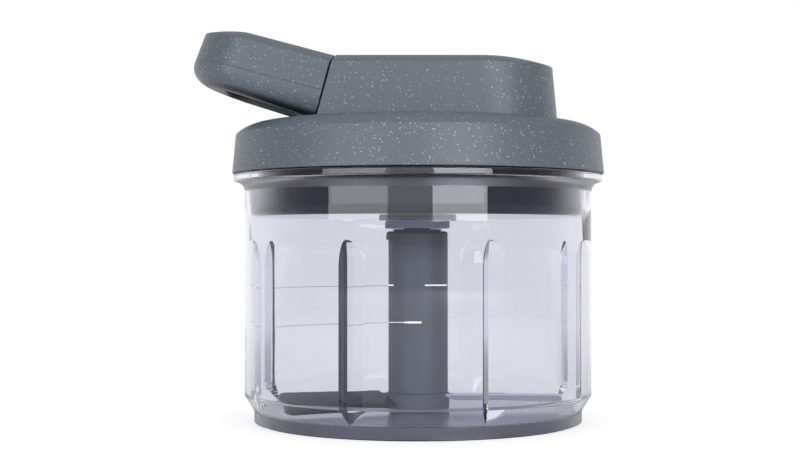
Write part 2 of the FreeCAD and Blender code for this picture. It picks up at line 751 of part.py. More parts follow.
# The recoil spring: a flat steel strip in a spiral, from the arbor out to the cup's wall.
spring_inner = s.arbor_radius.value + s.moving_gap.value
spring_outer = cup_radius.value - s.cup_wall.value - s.seat_gap.value
strip_thickness = s.strip_thickness.value
strip_turns = s.strip_turns.value
spiral_growth = (spring_outer - spring_inner - strip_thickness) / strip_turns
POINTS_PER_TURN = 16


def spiral_edge(offset):
    """One face of the strip: a radius that grows steadily with the angle."""
    points = []
    for step in range(int(strip_turns * POINTS_PER_TURN) + 1):
        turned = step / POINTS_PER_TURN
        radius = spring_inner + offset + spiral_growth * turned
        angle = 2 * math.pi * turned
        points.append(FreeCAD.Vector(
            radius * math.cos(angle), radius * math.sin(angle), 0
        ))
    curve = Part.BSplineCurve()
    curve.interpolate(points)
    return curve.toShape()


inner_face, outer_face = spiral_edge(0), spiral_edge(strip_thickness)
starts = [edge.valueAt(edge.FirstParameter) for edge in (inner_face, outer_face)]
stops = [edge.valueAt(edge.LastParameter) for edge in (inner_face, outer_face)]
strip = Part.Wire(Part.__sortEdges__([
    inner_face, outer_face, Part.makeLine(*starts), Part.makeLine(*stops)
]))
recoil_spring = doc.addObject("Part::Feature", "recoil_spring")
recoil_spring.Label = "recoil_spring"
recoil_spring.Shape = Part.Face(strip).extrude(FreeCAD.Vector(0, 0, s.strip_height.value))
place(recoil_spring, (0, 0, cup_floor_top + s.moving_gap))
print("spring: least gap between turns", round(spiral_growth - strip_thickness, 3), "mm")

# The dog: a six-sided driver with a round neck and a stem that runs in the lower bush.
neck_top = collar_narrow_under - s.moving_gap
neck_bottom = spindle_top + s.moving_gap
stem_top = bush_flange_top + s.seat_gap
shaft_hole = s.shaft_radius + s.snug_fit
drive_dog = new_body("drive_dog")
turn(drive_dog, [
    (shaft_hole, neck_bottom),
    (s.dog_neck_radius, neck_bottom),
    (s.dog_neck_radius, neck_top),
    (s.dog_stem_radius, neck_top),
    (s.dog_stem_radius, stem_top),
    (shaft_hole, stem_top),
])
prism = drive_dog.newObject("PartDesign::AdditivePrism", "hexagon")
prism.MapMode = "Deactivated"
prism.Polygon = 6
bind(prism, Circumradius=s.dog_radius, Height=neck_bottom - dog_bottom)
place(prism, (0, 0, dog_bottom))
doc.recompute()
post(
    drive_dog, "Subtractive", 0, 0, shaft_bottom - s.seat_gap,
    shaft_hole, neck_bottom - shaft_bottom + s.seat_gap,
)

# The spool: arbor, web and two flanges in one; it turns on the steel shaft.
spool_bore = s.shaft_radius + s.running_fit
arbor_bottom = stem_top + s.moving_gap
lower_flange_top = spool_bottom + s.spool_flange
winding_top = lower_flange_top + s.winding_height
spool_top = winding_top + s.spool_flange
recess_floor = spool_top - s.ratchet_depth
cord_spool = new_body("cord_spool")
turn(cord_spool, [
    (spool_bore, arbor_bottom),
    (s.arbor_radius, arbor_bottom),
    (s.arbor_radius, spool_bottom),
    (s.spool_flange_radius, spool_bottom),
    (s.spool_flange_radius, lower_flange_top),
    (s.spool_core, lower_flange_top),
    (s.spool_core, winding_top),
    (s.spool_flange_radius, winding_top),
    (s.spool_flange_radius, spool_top),
    (s.ratchet_recess, spool_top),
    (s.ratchet_recess, recess_floor),
    (spool_bore, recess_floor),
])

# The cord on the spool, as one plain coil of its outer shape: nothing of it shows.
cord_winding = ring(
    "cord_winding",
    s.spool_core + s.snug_fit,
    s.spool_core + s.winding_depth,
    lower_flange_top + s.snug_fit,
    winding_top - s.snug_fit,
)

# The ratchet wheel on the shaft, with saw teeth, and the two pawls on the spool.
wheel_bottom = recess_floor + s.moving_gap
tooth_count = int(s.ratchet_teeth.value)
ratchet_wheel = new_body("ratchet_wheel")
teeth = []
for index in range(tooth_count):
    angle = as_dim(360 * index / tooth_count)
    valley = s.ratchet_radius - s.ratchet_tooth
    teeth.append((valley * cosine(angle), valley * sine(angle)))
    teeth.append((s.ratchet_radius * cosine(angle), s.ratchet_radius * sine(angle)))
extrude(ratchet_wheel, teeth, wheel_bottom, s.ratchet_thickness)
post(ratchet_wheel, "Subtractive", 0, 0, wheel_bottom, shaft_hole, s.ratchet_thickness)

pawl_offset = s.ratchet_radius + s.moving_gap
pawls = []
for side, label in ((1, "first_pawl"), (-1, "second_pawl")):
    pawl = doc.addObject("Part::Box", label)
    pawl.Label = label
    bind(pawl, Length=s.pawl_length, Width=s.pawl_width, Height=s.ratchet_thickness)
    place(
        pawl,
        (-side * s.pawl_length / 2, side * pawl_offset, recess_floor),
        (Z_AXIS, 0 if side > 0 else 180),
    )
    pawls.append(pawl)
ratchet_pawls = doc.addObject("Part::MultiFuse", "ratchet_pawls")
ratchet_pawls.Label = "ratchet_pawls"
ratchet_pawls.Shapes = pawls

# The steel shaft, and the clip that keeps it from dropping.
clip_bottom = wheel_bottom + s.ratchet_thickness + s.seat_gap
clip_top = clip_bottom + s.clip_thickness
drive_shaft = ring("drive_shaft", 0, s.shaft_radius, shaft_bottom, clip_top + s.clip_thickness)
shaft_clip = ring("shaft_clip", shaft_hole, s.clip_radius, clip_bottom, clip_top)

# The lid's cover: skirt, domed shoulder and flat top, with a boss for the spool's bearing
# and posts that reach down to the plug's floor.
cover_under = plateau - s.lid_wall
bearing_inner = s.arbor_radius + s.running_fit
bearing_outer = bearing_inner + s.bearing_wall
bearing_hole = bearing_outer + s.snug_fit
bearing_bottom = plateau - s.bearing_length
skirt_inner = lid_radius - s.skirt_wall
shoulder_inner = crease_radius - s.lid_wall
lid_cover = new_body("lid_cover")
turn(lid_cover, [
    (lid_radius, lid_edge),
    (crease_radius, crease_height, plateau_radius),
    (plateau_radius, plateau),
    (bearing_hole, plateau),
    (bearing_hole, bearing_bottom),
    (bearing_hole + s.bearing_boss_wall, bearing_bottom),
    (bearing_hole + s.bearing_boss_wall, cover_under),
    (plateau_radius, cover_under, plateau_radius),
    (shoulder_inner, crease_height - s.lid_wall / 2),
    (shoulder_inner, plug_flange_top + s.seat_gap),
    (skirt_inner, plug_flange_top + s.seat_gap),
    (skirt_inner, lid_edge),
])
screw_hole = s.screw_radius + s.snug_fit
for x, y in plug_posts:
    post(
        lid_cover, "Additive", x, y, plug_floor_top,
        s.plug_post_radius, plateau - s.lid_wall / 2 - plug_floor_top,
    )
    post(lid_cover, "Subtractive", x, y, plug_floor_top, screw_hole, s.screw_length + s.seat_gap)
right_post_x = housing_end_top + s.housing_half_width - s.right_post_inset
left_post_x = handle_corner_x + s.left_post_setback
left_post_y = s.housing_half_width - s.left_post_inset
housing_posts = [
    (right_post_x, s.right_post_y),
    (right_post_x, -s.right_post_y),
    (left_post_x, left_post_y),
    (left_post_x, -left_post_y),
]
for x, y in housing_posts:
    post(lid_cover, "Subtractive", x, y, cover_under, s.screw_radius + s.seat_gap, s.lid_wall)

spool_bearing = ring(
    "spool_bearing", bearing_inner, bearing_outer, bearing_bottom, plateau
)

# The housing on the lid: a D in plan whose flat end leans with the seam, with a domed top.
seam_top_x = handle_corner_x + s.seam_gap


def seam_x(height):
    """The seam's distance from the axis at a height, on the housing's side."""
    return seam_top_x - (handle_corner_z - height) * tangent(s.seam_lean)


def housing_outline(height, inset=0, wall=0):
    """The housing's outline at a height: its flat end drawn in by wall, the rest by inset."""
    lean = (housing_end_foot - housing_end_top) / (housing_edge - plateau)
    flat = seam_x(height) + wall
    middle = housing_end_foot - (height - plateau) * lean
    half = s.housing_half_width - inset
    return (
        [
            (flat, -half),
            (middle, -half, middle),
            (middle + half, 0, middle),
            (middle, half),
            (flat, half),
        ],
        height,
    )


# The domed tops rise inwards from the upper edge in two flats, each (inset, rise).
roof_under = housing_edge - s.housing_wall
dome_steps = [
    (s.dome_width / 2, s.dome_rise / 2 + s.dome_bulge),
    (s.dome_width, s.dome_rise),
]
housing = new_body("housing_cover")
loft(
    housing, "Additive",
    housing_outline(plateau), housing_outline(housing_edge),
    *[housing_outline(housing_edge + rise, inset) for inset, rise in dome_steps],
)
loft(
    housing, "Subtractive",
    housing_outline(plateau, s.housing_wall, s.housing_wall),
    housing_outline(roof_under, s.housing_wall, s.housing_wall),
    *[housing_outline(roof_under + rise, inset, s.housing_wall) for inset, rise in dome_steps],
)
for x, y in housing_posts:
    post(
        housing, "Additive", x, y, plateau,
        s.post_radius, roof_under - plateau + s.housing_wall / 2,
    )
    post(housing, "Subtractive", x, y, plateau, screw_hole, s.screw_length - s.lid_wall + s.seat_gap)

# The pull leaves the housing here: on the line between the handle's two shells, where it
# crosses the seam.
exit_x = handle_corner_x - s.top_shell_depth * sine(s.handle_tilt)
exit_z = handle_corner_z - s.top_shell_depth * cosine(s.handle_tilt)


def along_pull(distance):
    """A place on the cord's line inside the housing, that far from the seam."""
    return (
        exit_x + distance * cosine(s.handle_tilt),
        0,
        exit_z - distance * sine(s.handle_tilt),
    )


def pull_cylinder(body, kind, start, end, radius):
    """Adds or cuts a cylinder along the cord's line, from start to end inside the seam."""
    cylinder = body.newObject(f"PartDesign::{kind}Cylinder", "pull")
    cylinder.MapMode = "Deactivated"
    bind(cylinder, Radius=radius, Height=end - start)
    place(cylinder, along_pull(start), (Y_AXIS, s.handle_tilt + QUARTER_TURN))
    doc.recompute()
    return cylinder


guide_radius = s.guide_bore + s.guide_wall
guide_face = s.seam_gap - s.guide_nose
guide_seat = s.seam_gap + s.housing_wall + s.seat_gap
guide_end = guide_seat + s.guide_flange_length
pull_cylinder(
    housing, "Subtractive", guide_face - s.housing_wall, guide_seat + s.housing_wall,
    guide_radius + s.snug_fit,
)
cord_guide = new_body("cord_guide")
pull_cylinder(cord_guide, "Additive", guide_face, guide_end, guide_radius)
pull_cylinder(cord_guide, "Additive", guide_seat, guide_end, guide_radius + s.guide_flange)
pull_cylinder(cord_guide, "Subtractive", guide_face, guide_end, s.guide_bore)

# The handle, in its own frame: X runs down towards the seam and Z is square to the pull. Its
# sides are straight, two arcs lead from them into a flatter one across the tip, and its top
# is domed like the housing's.
end_x = s.tip_reach - s.handle_length
tip_radius = (
    s.tip_reach * s.tip_reach - s.tip_corner * s.tip_corner
    + (s.housing_half_width - s.tip_corner) * (s.housing_half_width - s.tip_corner)
) / (2 * (s.tip_reach - s.tip_corner))


def seam_shift(depth):
    """How far the seam has moved along the handle at a depth below its upper edge."""
    return -depth * tangent(s.seam_lean - s.handle_tilt)


def handle_outline(depth, lean=0, inset=0):
    """The handle's outline at a depth, its tip leaning in by lean and all but the seam drawn
    in by inset. The tip's arc and a corner's arc meet on the line through their centres."""
    start = end_x + lean
    half = s.housing_half_width - inset
    corner_y = s.housing_half_width - s.tip_corner
    middle = start - s.tip_reach + tip_radius
    meet_x = middle - (middle - start) * (tip_radius - inset) / (tip_radius - s.tip_corner)
    meet_y = corner_y * (tip_radius - inset) / (tip_radius - s.tip_corner)
    flat = seam_shift(depth)
    return (
        [
            (flat, -half),
            (start, -half, start),
            (meet_x, -meet_y, middle),
            (meet_x, meet_y, start),
            (start, half),
            (flat, half),
        ],
        -depth,
    )


def place_handle(item):
    place(item, (handle_corner_x, 0, handle_corner_z), (Y_AXIS, s.handle_tilt))


def hollow(body, bottom_depth, top_depth):
    """Cuts the finger hollow between two depths below the handle's upper edge."""
    near, far = -s.bulkhead, -s.hollow_reach
    half, corner = s.hollow_half_width, s.hollow_corner
    cut = body.newObject("PartDesign::Pocket", "hollow")
    cut.Profile = draw(new_sketch(body, "XY_Plane", -top_depth), [
        (near, -half),
        (far + corner, -half, far + corner),
        (far, corner - half),
        (far, half - corner, far + corner),
        (far + corner, half),
        (near, half),
    ])
    bind(cut, Length=bottom_depth - top_depth)
    doc.recompute()


def underside(along):
    """Height of the handle's underside at a place along the handle, 0 being the seam."""
    return -handle_depth - along * tangent(s.grip_taper)


no_depth = as_dim(0)
handle_screws_at = [(-s.handle_screw_x, s.handle_screw_y), (-s.handle_screw_x, -s.handle_screw_y)]
cord_depth = -s.top_shell_depth
nose_room = s.guide_nose + s.moving_gap
ferrule_end = s.ferrule_setback + s.ferrule_length

handle_top = new_body("handle_top")
tip_share = 1 - s.dome_tip_width / s.dome_width
loft(
    handle_top, "Additive",
    handle_outline(s.top_shell_depth), handle_outline(no_depth, s.handle_draft),
    *[
        handle_outline(-rise, s.handle_draft - inset * tip_share, inset)
        for inset, rise in dome_steps
    ],
)
hollow(handle_top, s.top_shell_depth, s.handle_roof)

handle_grip = new_body("handle_grip")
loft(
    handle_grip, "Additive", handle_outline(handle_depth), handle_outline(s.top_shell_depth)
)
taper_cut = handle_grip.newObject("PartDesign::SubtractiveBox", "taper_cut")
taper_cut.MapMode = "Deactivated"
cut_reach = 2 * s.handle_length
bind(taper_cut, Length=2 * cut_reach, Width=2 * cut_reach, Height=handle_depth)
place(
    taper_cut, (0, 0, -handle_depth), (Y_AXIS, s.grip_taper),
    start=(-cut_reach, -cut_reach, -handle_depth),
)
doc.recompute()


def lower_edge(edge):
    """Whether an edge lies on the underside, other than along the seam."""
    middle = edge.valueAt((edge.FirstParameter + edge.LastParameter) / 2)
    points = [*(vertex.Point for vertex in edge.Vertexes), middle]
    off = max(abs(point.z - underside(as_dim(point.x)).value) for point in points)
    return off < TOUCH and middle.x < seam_shift(handle_depth).value - TOUCH


def hollow_edge(edge):
    """Whether an edge lies on the underside, round the hollow."""
    box = edge.BoundBox
    beside = max(box.YMax, -box.YMin) < s.hollow_half_width.value + TOUCH
    return lower_edge(edge) and beside and box.XMin > -s.hollow_reach.value - TOUCH


soften(handle_grip, s.grip_round, lower_edge)
hollow(handle_grip, handle_depth, s.top_shell_depth)
soften(handle_grip, s.hollow_round, hollow_edge)

for body in (handle_top, handle_grip):
    bore_along_x(body, "Subtractive", -nose_room, s.seam_gap, cord_depth,
                 guide_radius + s.moving_gap)
    bore_along_x(body, "Subtractive", -ferrule_end, s.seam_gap, cord_depth,
                 s.cord_radius + s.seat_gap)
    bore_along_x(body, "Subtractive", -ferrule_end - s.seat_gap, -s.ferrule_setback + s.seat_gap,
                 cord_depth, s.ferrule_radius + s.seat_gap)
screw_seat = underside(-s.handle_screw_x - s.screw_head_radius)
screw_top = s.handle_screw_length + s.screw_head_height + screw_seat + s.top_shell_depth
for x, y in handle_screws_at:
    post(handle_grip, "Subtractive", x, y, -handle_depth, screw_hole, s.grip_depth)
    post(handle_grip, "Subtractive", x, y, -handle_depth,
         s.screw_head_radius + s.seat_gap, handle_depth + screw_seat + head_room)
    post(handle_top, "Subtractive", x, y, -s.top_shell_depth, screw_hole, screw_top + s.seat_gap)
for body in (handle_top, handle_grip):
    place_handle(body)

# The cord's end piece in the handle, and the short stretch from it to the seam.
cord_ferrule = new_body("cord_ferrule")
bore_along_x(cord_ferrule, "Additive", -ferrule_end, -s.ferrule_setback, cord_depth,
             s.ferrule_radius)
cord_lead = new_body("cord_lead")
bore_along_x(cord_lead, "Additive", -s.ferrule_setback, -s.seat_gap, cord_depth, s.cord_radius)
for body in (cord_ferrule, cord_lead):
    place_handle(body)

# The cord inside the housing: straight through the guide, then round to the winding, where
# it meets the coil at a tangent on the +Y side.
cord_radius = s.cord_radius.value
run_start = FreeCAD.Vector(exit_x.value, 0, exit_z.value)
run_bend = FreeCAD.Vector(*(as_dim(part).value for part in along_pull(s.cord_straight)))
meet_radius = (s.spool_core + s.winding_depth + s.cord_radius + s.moving_gap).value
meet_angle = math.acos(meet_radius / abs(run_bend.x))
run_end = FreeCAD.Vector(
    -meet_radius * math.cos(meet_angle),
    meet_radius * math.sin(meet_angle),
    (lower_flange_top + s.winding_height / 2).value,
)
first_run, second_run = run_bend - run_start, run_end - run_bend
bend = first_run.getAngle(second_run)
ARC_SHARE = 0.45
trim = ARC_SHARE * min(first_run.Length, second_run.Length)
bend_radius = trim / math.tan(bend / 2)
arc_start = run_bend - first_run.normalize() * trim
arc_end = run_bend + second_run.normalize() * trim
inward = (arc_start + arc_end) * 0.5 - run_bend
arc_middle = run_bend + inward.normalize() * (bend_radius / math.cos(bend / 2) - bend_radius)
route = Part.Wire([
    Part.LineSegment(run_start, arc_start).toShape(),
    Part.Arc(arc_start, arc_middle, arc_end).toShape(),
    Part.LineSegment(arc_end, run_end).toShape(),
])
section = Part.Wire(Part.makeCircle(cord_radius, run_start, first_run))
cord_run = doc.addObject("Part::Feature", "cord_run")
cord_run.Label = "cord_run"
cord_run.Shape = route.makePipeShell([section], True, False)
tube_volume = math.pi * cord_radius ** 2 * route.Length
print("cord run: bend radius", round(bend_radius, 2), "mm, length", round(route.Length, 2),
      "mm, volume over section times length", round(cord_run.Shape.Volume / tube_volume, 4))


def screw_group(label, places, head_bottom, shank_length):
    """Pan-head screws pointing upwards, as one node of separate solids."""
    pieces = []
    for number, (x, y) in enumerate(places, start=1):
        head = doc.addObject("Part::Cylinder", f"{label}_head_{number}")
        shank = doc.addObject("Part::Cylinder", f"{label}_shank_{number}")
        bind(head, Radius=s.screw_head_radius, Height=s.screw_head_height)
        bind(shank, Radius=s.screw_radius, Height=shank_length)
        place(head, (x, y, head_bottom))
        place(shank, (x, y, head_bottom + s.screw_head_height))
        screw = doc.addObject("Part::Fuse", f"{label}_{number}")
        screw.Base, screw.Tool = head, shank
        pieces.append(screw)
    group = doc.addObject("Part::Compound", label)
    group.Label = label
    group.Links = pieces
    return group


plug_screws = screw_group("plug_screws", plug_posts, plug_bottom, s.screw_length)
housing_screws = screw_group(
    "housing_screws", housing_posts, cover_under - s.screw_head_height, s.screw_length
)
handle_screws = screw_group(
    "handle_screws", handle_screws_at, screw_seat, s.handle_screw_length
)
place_handle(handle_screws)

NODES = [
    bowl, base_pad, blade_pin,
    spindle_bush, spindle, spindle_foot, *blades,
    lid_plug, seal, shaft_bush, spring_cup, spring_cover, recoil_spring, lid_cover,
    spool_bearing, housing, cord_guide, cord_run, plug_screws, housing_screws,
    drive_dog, drive_shaft, ratchet_wheel, shaft_clip,
    cord_spool, cord_winding, ratchet_pawls,
    handle_top, handle_grip, handle_screws, cord_ferrule, cord_lead,
]

doc.recompute()
for item in doc.Objects:
    if {"Invalid", "Error"} & set(item.State):
        raise RuntimeError(f"{item.Label} failed: {item.State}")
for node in NODES:
    if node.Shape.isNull() or not node.Shape.isValid():
        raise RuntimeError(f"{node.Label} has no valid shape")

os.makedirs("parts", exist_ok=True)
for node in NODES:
    node.Shape.exportStep(os.path.join("parts", f"{node.Label}.step"))
    print(f"{node.Label}: {len(node.Shape.Solids)} solid, {node.Shape.Volume / 1000:.2f} cm3")
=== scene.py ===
import math

import bmesh
import bpy
import numpy as np
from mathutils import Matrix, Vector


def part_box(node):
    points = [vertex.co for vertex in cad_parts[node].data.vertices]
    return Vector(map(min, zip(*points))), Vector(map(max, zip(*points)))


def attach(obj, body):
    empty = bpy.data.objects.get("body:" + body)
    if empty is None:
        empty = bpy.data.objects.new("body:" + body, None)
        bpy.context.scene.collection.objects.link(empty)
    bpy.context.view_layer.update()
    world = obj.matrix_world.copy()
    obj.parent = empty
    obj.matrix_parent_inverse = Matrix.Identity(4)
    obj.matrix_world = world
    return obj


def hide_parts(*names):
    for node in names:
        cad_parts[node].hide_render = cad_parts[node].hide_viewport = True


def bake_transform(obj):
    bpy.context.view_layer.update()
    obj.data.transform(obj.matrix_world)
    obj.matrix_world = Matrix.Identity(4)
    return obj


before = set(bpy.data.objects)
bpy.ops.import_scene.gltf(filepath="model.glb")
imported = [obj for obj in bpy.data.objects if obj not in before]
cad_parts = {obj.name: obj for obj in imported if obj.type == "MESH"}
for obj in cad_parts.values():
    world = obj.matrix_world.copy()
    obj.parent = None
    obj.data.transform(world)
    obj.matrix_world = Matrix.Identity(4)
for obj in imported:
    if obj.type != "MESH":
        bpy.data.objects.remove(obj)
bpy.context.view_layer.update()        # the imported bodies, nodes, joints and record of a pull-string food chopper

# Camera: level, half a metre in front of the spindle and a little above the middle of the bowl,
# with a short telephoto lens. The frame is shifted so that the chopper stands where it should.
FRAME_WIDTH = 800
FRAME_HEIGHT = 465
FOCAL_LENGTH = 1504
SPINDLE_COLUMN = 418.1
HORIZON_ROW = 245.3
CAMERA_DISTANCE = 0.5295
CAMERA_HEIGHT = 0.06184
camera_data = bpy.data.cameras.new("camera")
camera_data.lens = camera_data.sensor_width * FOCAL_LENGTH / FRAME_WIDTH
camera_data.shift_x = (FRAME_WIDTH / 2 - SPINDLE_COLUMN) / FRAME_WIDTH
camera_data.shift_y = (HORIZON_ROW - FRAME_HEIGHT / 2) / FRAME_WIDTH
camera = bpy.data.objects.new("camera", camera_data)
camera.location = (0, -CAMERA_DISTANCE, CAMERA_HEIGHT)
camera.rotation_euler = (math.radians(90), 0, 0)
bpy.context.scene.collection.objects.link(camera)
bpy.context.scene.camera = camera


# Pull cord: a round braid of white polyester, 2.2 mm thick. It leaves the housing through the
# eyelet and ends in the ferrule in the handle, and it pays out straight when the handle is pulled.
MM = 0.001
CORD_RADIUS = 1.1
PULL_TILT = math.radians(14.8)
PULL = np.array([-math.cos(PULL_TILT), 0, math.sin(PULL_TILT)])
CORD_EXIT = np.array([-32.106, 0, 113.839])
CORD_INSIDE = 1.5
CORD_LEAD = 3.7
CORD_IN_FERRULE = 1.5
CORD_RINGS = 160
CORD_SIDES = 24
BRAID_STRANDS = 6
BRAID_PITCH = 3.2
BRAID_HEIGHT = 0.12


class Signal:
    """One output of a material's nodes. Arithmetic on it adds Math nodes."""

    def __init__(self, tree, socket=None):
        self.tree = tree
        self.socket = socket

    def node(self, kind, settings=None, sockets=None, output=0):
        """Adds a node: first its settings, or a ramp's stops, then its sockets' values or links."""
        made = self.tree.nodes.new(kind)
        for name, value in (settings or {}).items():
            if name == "stops":
                for _ in value[2:]:
                    made.color_ramp.elements.new(1)
                for element, (position, colour) in zip(made.color_ramp.elements, value):
                    element.position = position
                    element.color = colour
            else:
                setattr(made, name, value)
        for name, value in (sockets or {}).items():
            if isinstance(value, Signal):
                self.tree.links.new(value.socket, made.inputs[name])
            else:
                made.inputs[name].default_value = value
        return Signal(self.tree, made.outputs[output] if made.outputs else None)

    def output(self, name):
        """Another output of the same node."""
        return Signal(self.tree, self.socket.node.outputs[name])

    def math(self, operation, *values):
        return self.node("ShaderNodeMath", {"operation": operation}, dict(enumerate(values)))

    def vector(self, operation, *values, output=0):
        return self.node(
            "ShaderNodeVectorMath", {"operation": operation}, dict(enumerate(values)), output
        )

    def scaled(self, factor):
        return self.node("ShaderNodeVectorMath", {"operation": "SCALE"}, {0: self, "Scale": factor})

    def between(self, low, high):
        """Rises smoothly from 0 at low to 1 at high."""
        return self.node(
            "ShaderNodeMapRange", {"interpolation_type": "SMOOTHSTEP"},
            {"Value": self, "From Min": low, "From Max": high},
        )

    def mix(self, first, second):
        """The first colour where this is 0 and the second where it is 1."""
        return self.node("ShaderNodeMix", {"data_type": "RGBA"}, {0: self, 6: first, 7: second}, 2)

    def noise(self, size, detail=2):
        """Noise from 0 to 1 on this point, with lumps of about the given size."""
        return self.node(
            "ShaderNodeTexNoise", {}, {"Vector": self, "Scale": 1 / size, "Detail": detail}
        )

    def __add__(self, other):
        return self.math("ADD", self, other)

    def __sub__(self, other):
        return self.math("SUBTRACT", self, other)

    def __rsub__(self, other):
        return self.math("SUBTRACT", other, self)

    def __mul__(self, other):
        return self.math("MULTIPLY", self, other)

    __radd__ = __add__
    __rmul__ = __mul__


def new_finish(name):
    """An empty material and its Object coordinates in millimetres."""
    material = bpy.data.materials.new(name)
    material.use_nodes = True
    material.node_tree.nodes.clear()
    start = Signal(material.node_tree)
    point = start.node("ShaderNodeTexCoord", output="Object").scaled(1 / MM)
    return material, point


def close_finish(point, **sockets):
    """Ends a material with one Principled surface; a height becomes its bump, in millimetres."""
    height = sockets.pop("height", None)
    values = {
        name.replace("_", " ").title().replace("Ior", "IOR"): value
        for name, value in sockets.items()
    }
    if height is not None:
        values["Normal"] = point.node("ShaderNodeBump", {}, {"Height": height, "Distance": MM})
    shader = point.node("ShaderNodeBsdfPrincipled", {}, values)
    point.node("ShaderNodeOutputMaterial", {}, {"Surface": shader})


def colour(red, green, blue):
    """A colour written as on screen, 0 to 255, as the light it stands for."""
    screen = np.array([red, green, blue]) / 255
    light = np.where(screen < 0.04045, screen / 12.92, ((screen + 0.055) / 1.055) ** 2.4)
    return (*light, 1)


def shaded(mesh, sharp=25):
    """Shades a mesh smooth, apart from edges that turn by more than the given degrees."""
    mesh.shade_smooth()
    mesh.set_sharp_from_angle(angle=math.radians(sharp))


def piece_of(name, *grids, sharp=25):
    """A piece whose surface is the given grids of points in millimetres, joined where they meet.

    A face takes the points (i, j), (i, j + 1), (i + 1, j + 1) and (i + 1, j) of its grid.
    """
    points, faces, used = [], [], 0
    for grid in grids:
        rows, columns = grid.shape[:2]
        index = used + np.arange(rows * columns).reshape(rows, columns)
        around = [index[:-1, :-1], index[:-1, 1:], index[1:, 1:], index[1:, :-1]]
        faces.append(np.stack(around, axis=-1).reshape(-1, 4))
        points.append(grid.reshape(-1, 3) * MM)
        used += rows * columns
    mesh = bpy.data.meshes.new(name)
    mesh.from_pydata(np.concatenate(points), [], np.concatenate(faces))
    joined = bmesh.new()
    joined.from_mesh(mesh)
    bmesh.ops.remove_doubles(joined, verts=joined.verts, dist=0.002 * MM)
    joined.to_mesh(mesh)
    joined.free()
    shaded(mesh, sharp)
    piece = bpy.data.objects.new(name, mesh)
    bpy.context.scene.collection.objects.link(piece)
    return piece


def finished(piece, body, slot, material, *nodes):
    """Gives a rigid piece its finish and its body, and hides the CAD nodes that it stands for."""
    piece.data.materials.append(material)
    evened = piece.modifiers.new("even_shading", "WEIGHTED_NORMAL")
    evened.keep_sharp = True
    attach(piece, body)
    if nodes:
        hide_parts(*nodes)


def tube(start, direction, reaches, radii, sides):
    """Rings of the given radii round a straight line, each at its reach along the line."""
    side = np.array([0, 1, 0])
    up = np.cross(direction, side)
    turn = np.linspace(0, 2 * math.pi, sides + 1)[None, :, None]
    reach, radius = np.array(reaches)[:, None, None], np.array(radii)[:, None, None]
    return start + direction * reach + radius * (np.cos(turn) * side + np.sin(turn) * up)


cord_finish, point = new_finish("braided_cord")
around = point.node("ShaderNodeAttribute", {"attribute_name": "around"}, output="Vector")
parts = around.node("ShaderNodeSeparateXYZ", {}, {0: around})
angle = parts.output("Y").math("ARCTAN2", parts.output("Y"), parts.output("X")) * BRAID_STRANDS
along = point.vector("DOT_PRODUCT", point, tuple(PULL), output="Value")
along = along * (2 * math.pi / BRAID_PITCH)
weave = (angle + along).math("SINE", angle + along) * (angle - along).math("SINE", angle - along)
strand = weave.between(-0.9, 0.4)
close_finish(
    point,
    base_color=strand.mix(colour(150, 148, 142), colour(228, 226, 218)),
    roughness=0.85,
    height=strand * BRAID_HEIGHT,
)

cord_reach = np.concatenate([
    [-CORD_INSIDE, -CORD_INSIDE],
    np.linspace(0, CORD_LEAD, CORD_RINGS),
    [CORD_LEAD + CORD_IN_FERRULE, CORD_LEAD + CORD_IN_FERRULE],
])
cord_radii = np.full(len(cord_reach), CORD_RADIUS)
cord_radii[[0, -1]] = 0
pull_cord = piece_of(
    "pull_cord", tube(CORD_EXIT, PULL, cord_reach, cord_radii, CORD_SIDES)[::-1], sharp=60
)

# Each point keeps its place across the cord, so that the strands stay on it when it stretches.
places = np.array([vertex.co for vertex in pull_cord.data.vertices]) / MM - CORD_EXIT
around = np.stack([places[:, 1], places @ np.cross(PULL, [0, 1, 0]), 0 * places[:, 1]], axis=-1)
kept = pull_cord.data.attributes.new("around", "FLOAT_VECTOR", "POINT")
kept.data.foreach_set("vector", around.ravel())
pull_cord.data.materials.append(cord_finish)
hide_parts("cord_lead")
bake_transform(pull_cord)


# Floor: a wide pale board that the chopper stands on. It shows white to the eye, through the bowl
# and where it is mirrored behind the chopper, apart from the shadow that the chopper throws on it.
FLOOR_REACH = 20000
FLOOR_SHADE = 0.8
SHADOW_NEAR = 350
SHADOW_FAR = 900
SEEN_GLOW = (0.63, 1.0)        # how white it shows near the chopper and far from it
THROUGH_GLOW = (0.57, 0.97)
MIRRORED_GLOW = (0.3, 1.0)
corner = np.linspace(-FLOOR_REACH, FLOOR_REACH, 2)
across, deep = np.meshgrid(corner, corner)
floor = piece_of("floor", np.stack([across, deep, 0 * deep], axis=-1))
floor_finish, point = new_finish("floor")
rays = point.node("ShaderNodeLightPath", output="Is Camera Ray")
through = rays.output("Is Transmission Ray")
rear = point.node("ShaderNodeSeparateXYZ", {}, {0: point}, "Y").between(0, SHADOW_NEAR)
glossy = rays.output("Is Glossy Ray") * (1 - through) * rear
seen = rays.math("MAXIMUM", rays, rays.math("MAXIMUM", through, glossy))
away = point.vector("LENGTH", point, output="Value").between(SHADOW_NEAR, SHADOW_FAR)
pale = FLOOR_SHADE * (1 - seen * away)
shader = point.node(
    "ShaderNodeBsdfDiffuse", {},
    {"Color": point.node("ShaderNodeCombineXYZ", {}, {0: pale, 1: pale, 2: pale})},
)
glow = 0
for kind, (near, far) in [
    (rays, SEEN_GLOW), (through, THROUGH_GLOW), (glossy, MIRRORED_GLOW),
]:
    glow = kind * (away * (far - near) + near) + glow
light = point.node("ShaderNodeEmission", {}, {"Color": (1, 1, 1, 1), "Strength": glow})
both = point.node("ShaderNodeAddShader", {}, {0: shader, 1: light})
point.node("ShaderNodeOutputMaterial", {}, {"Surface": both})
floor.data.materials.append(floor_finish)


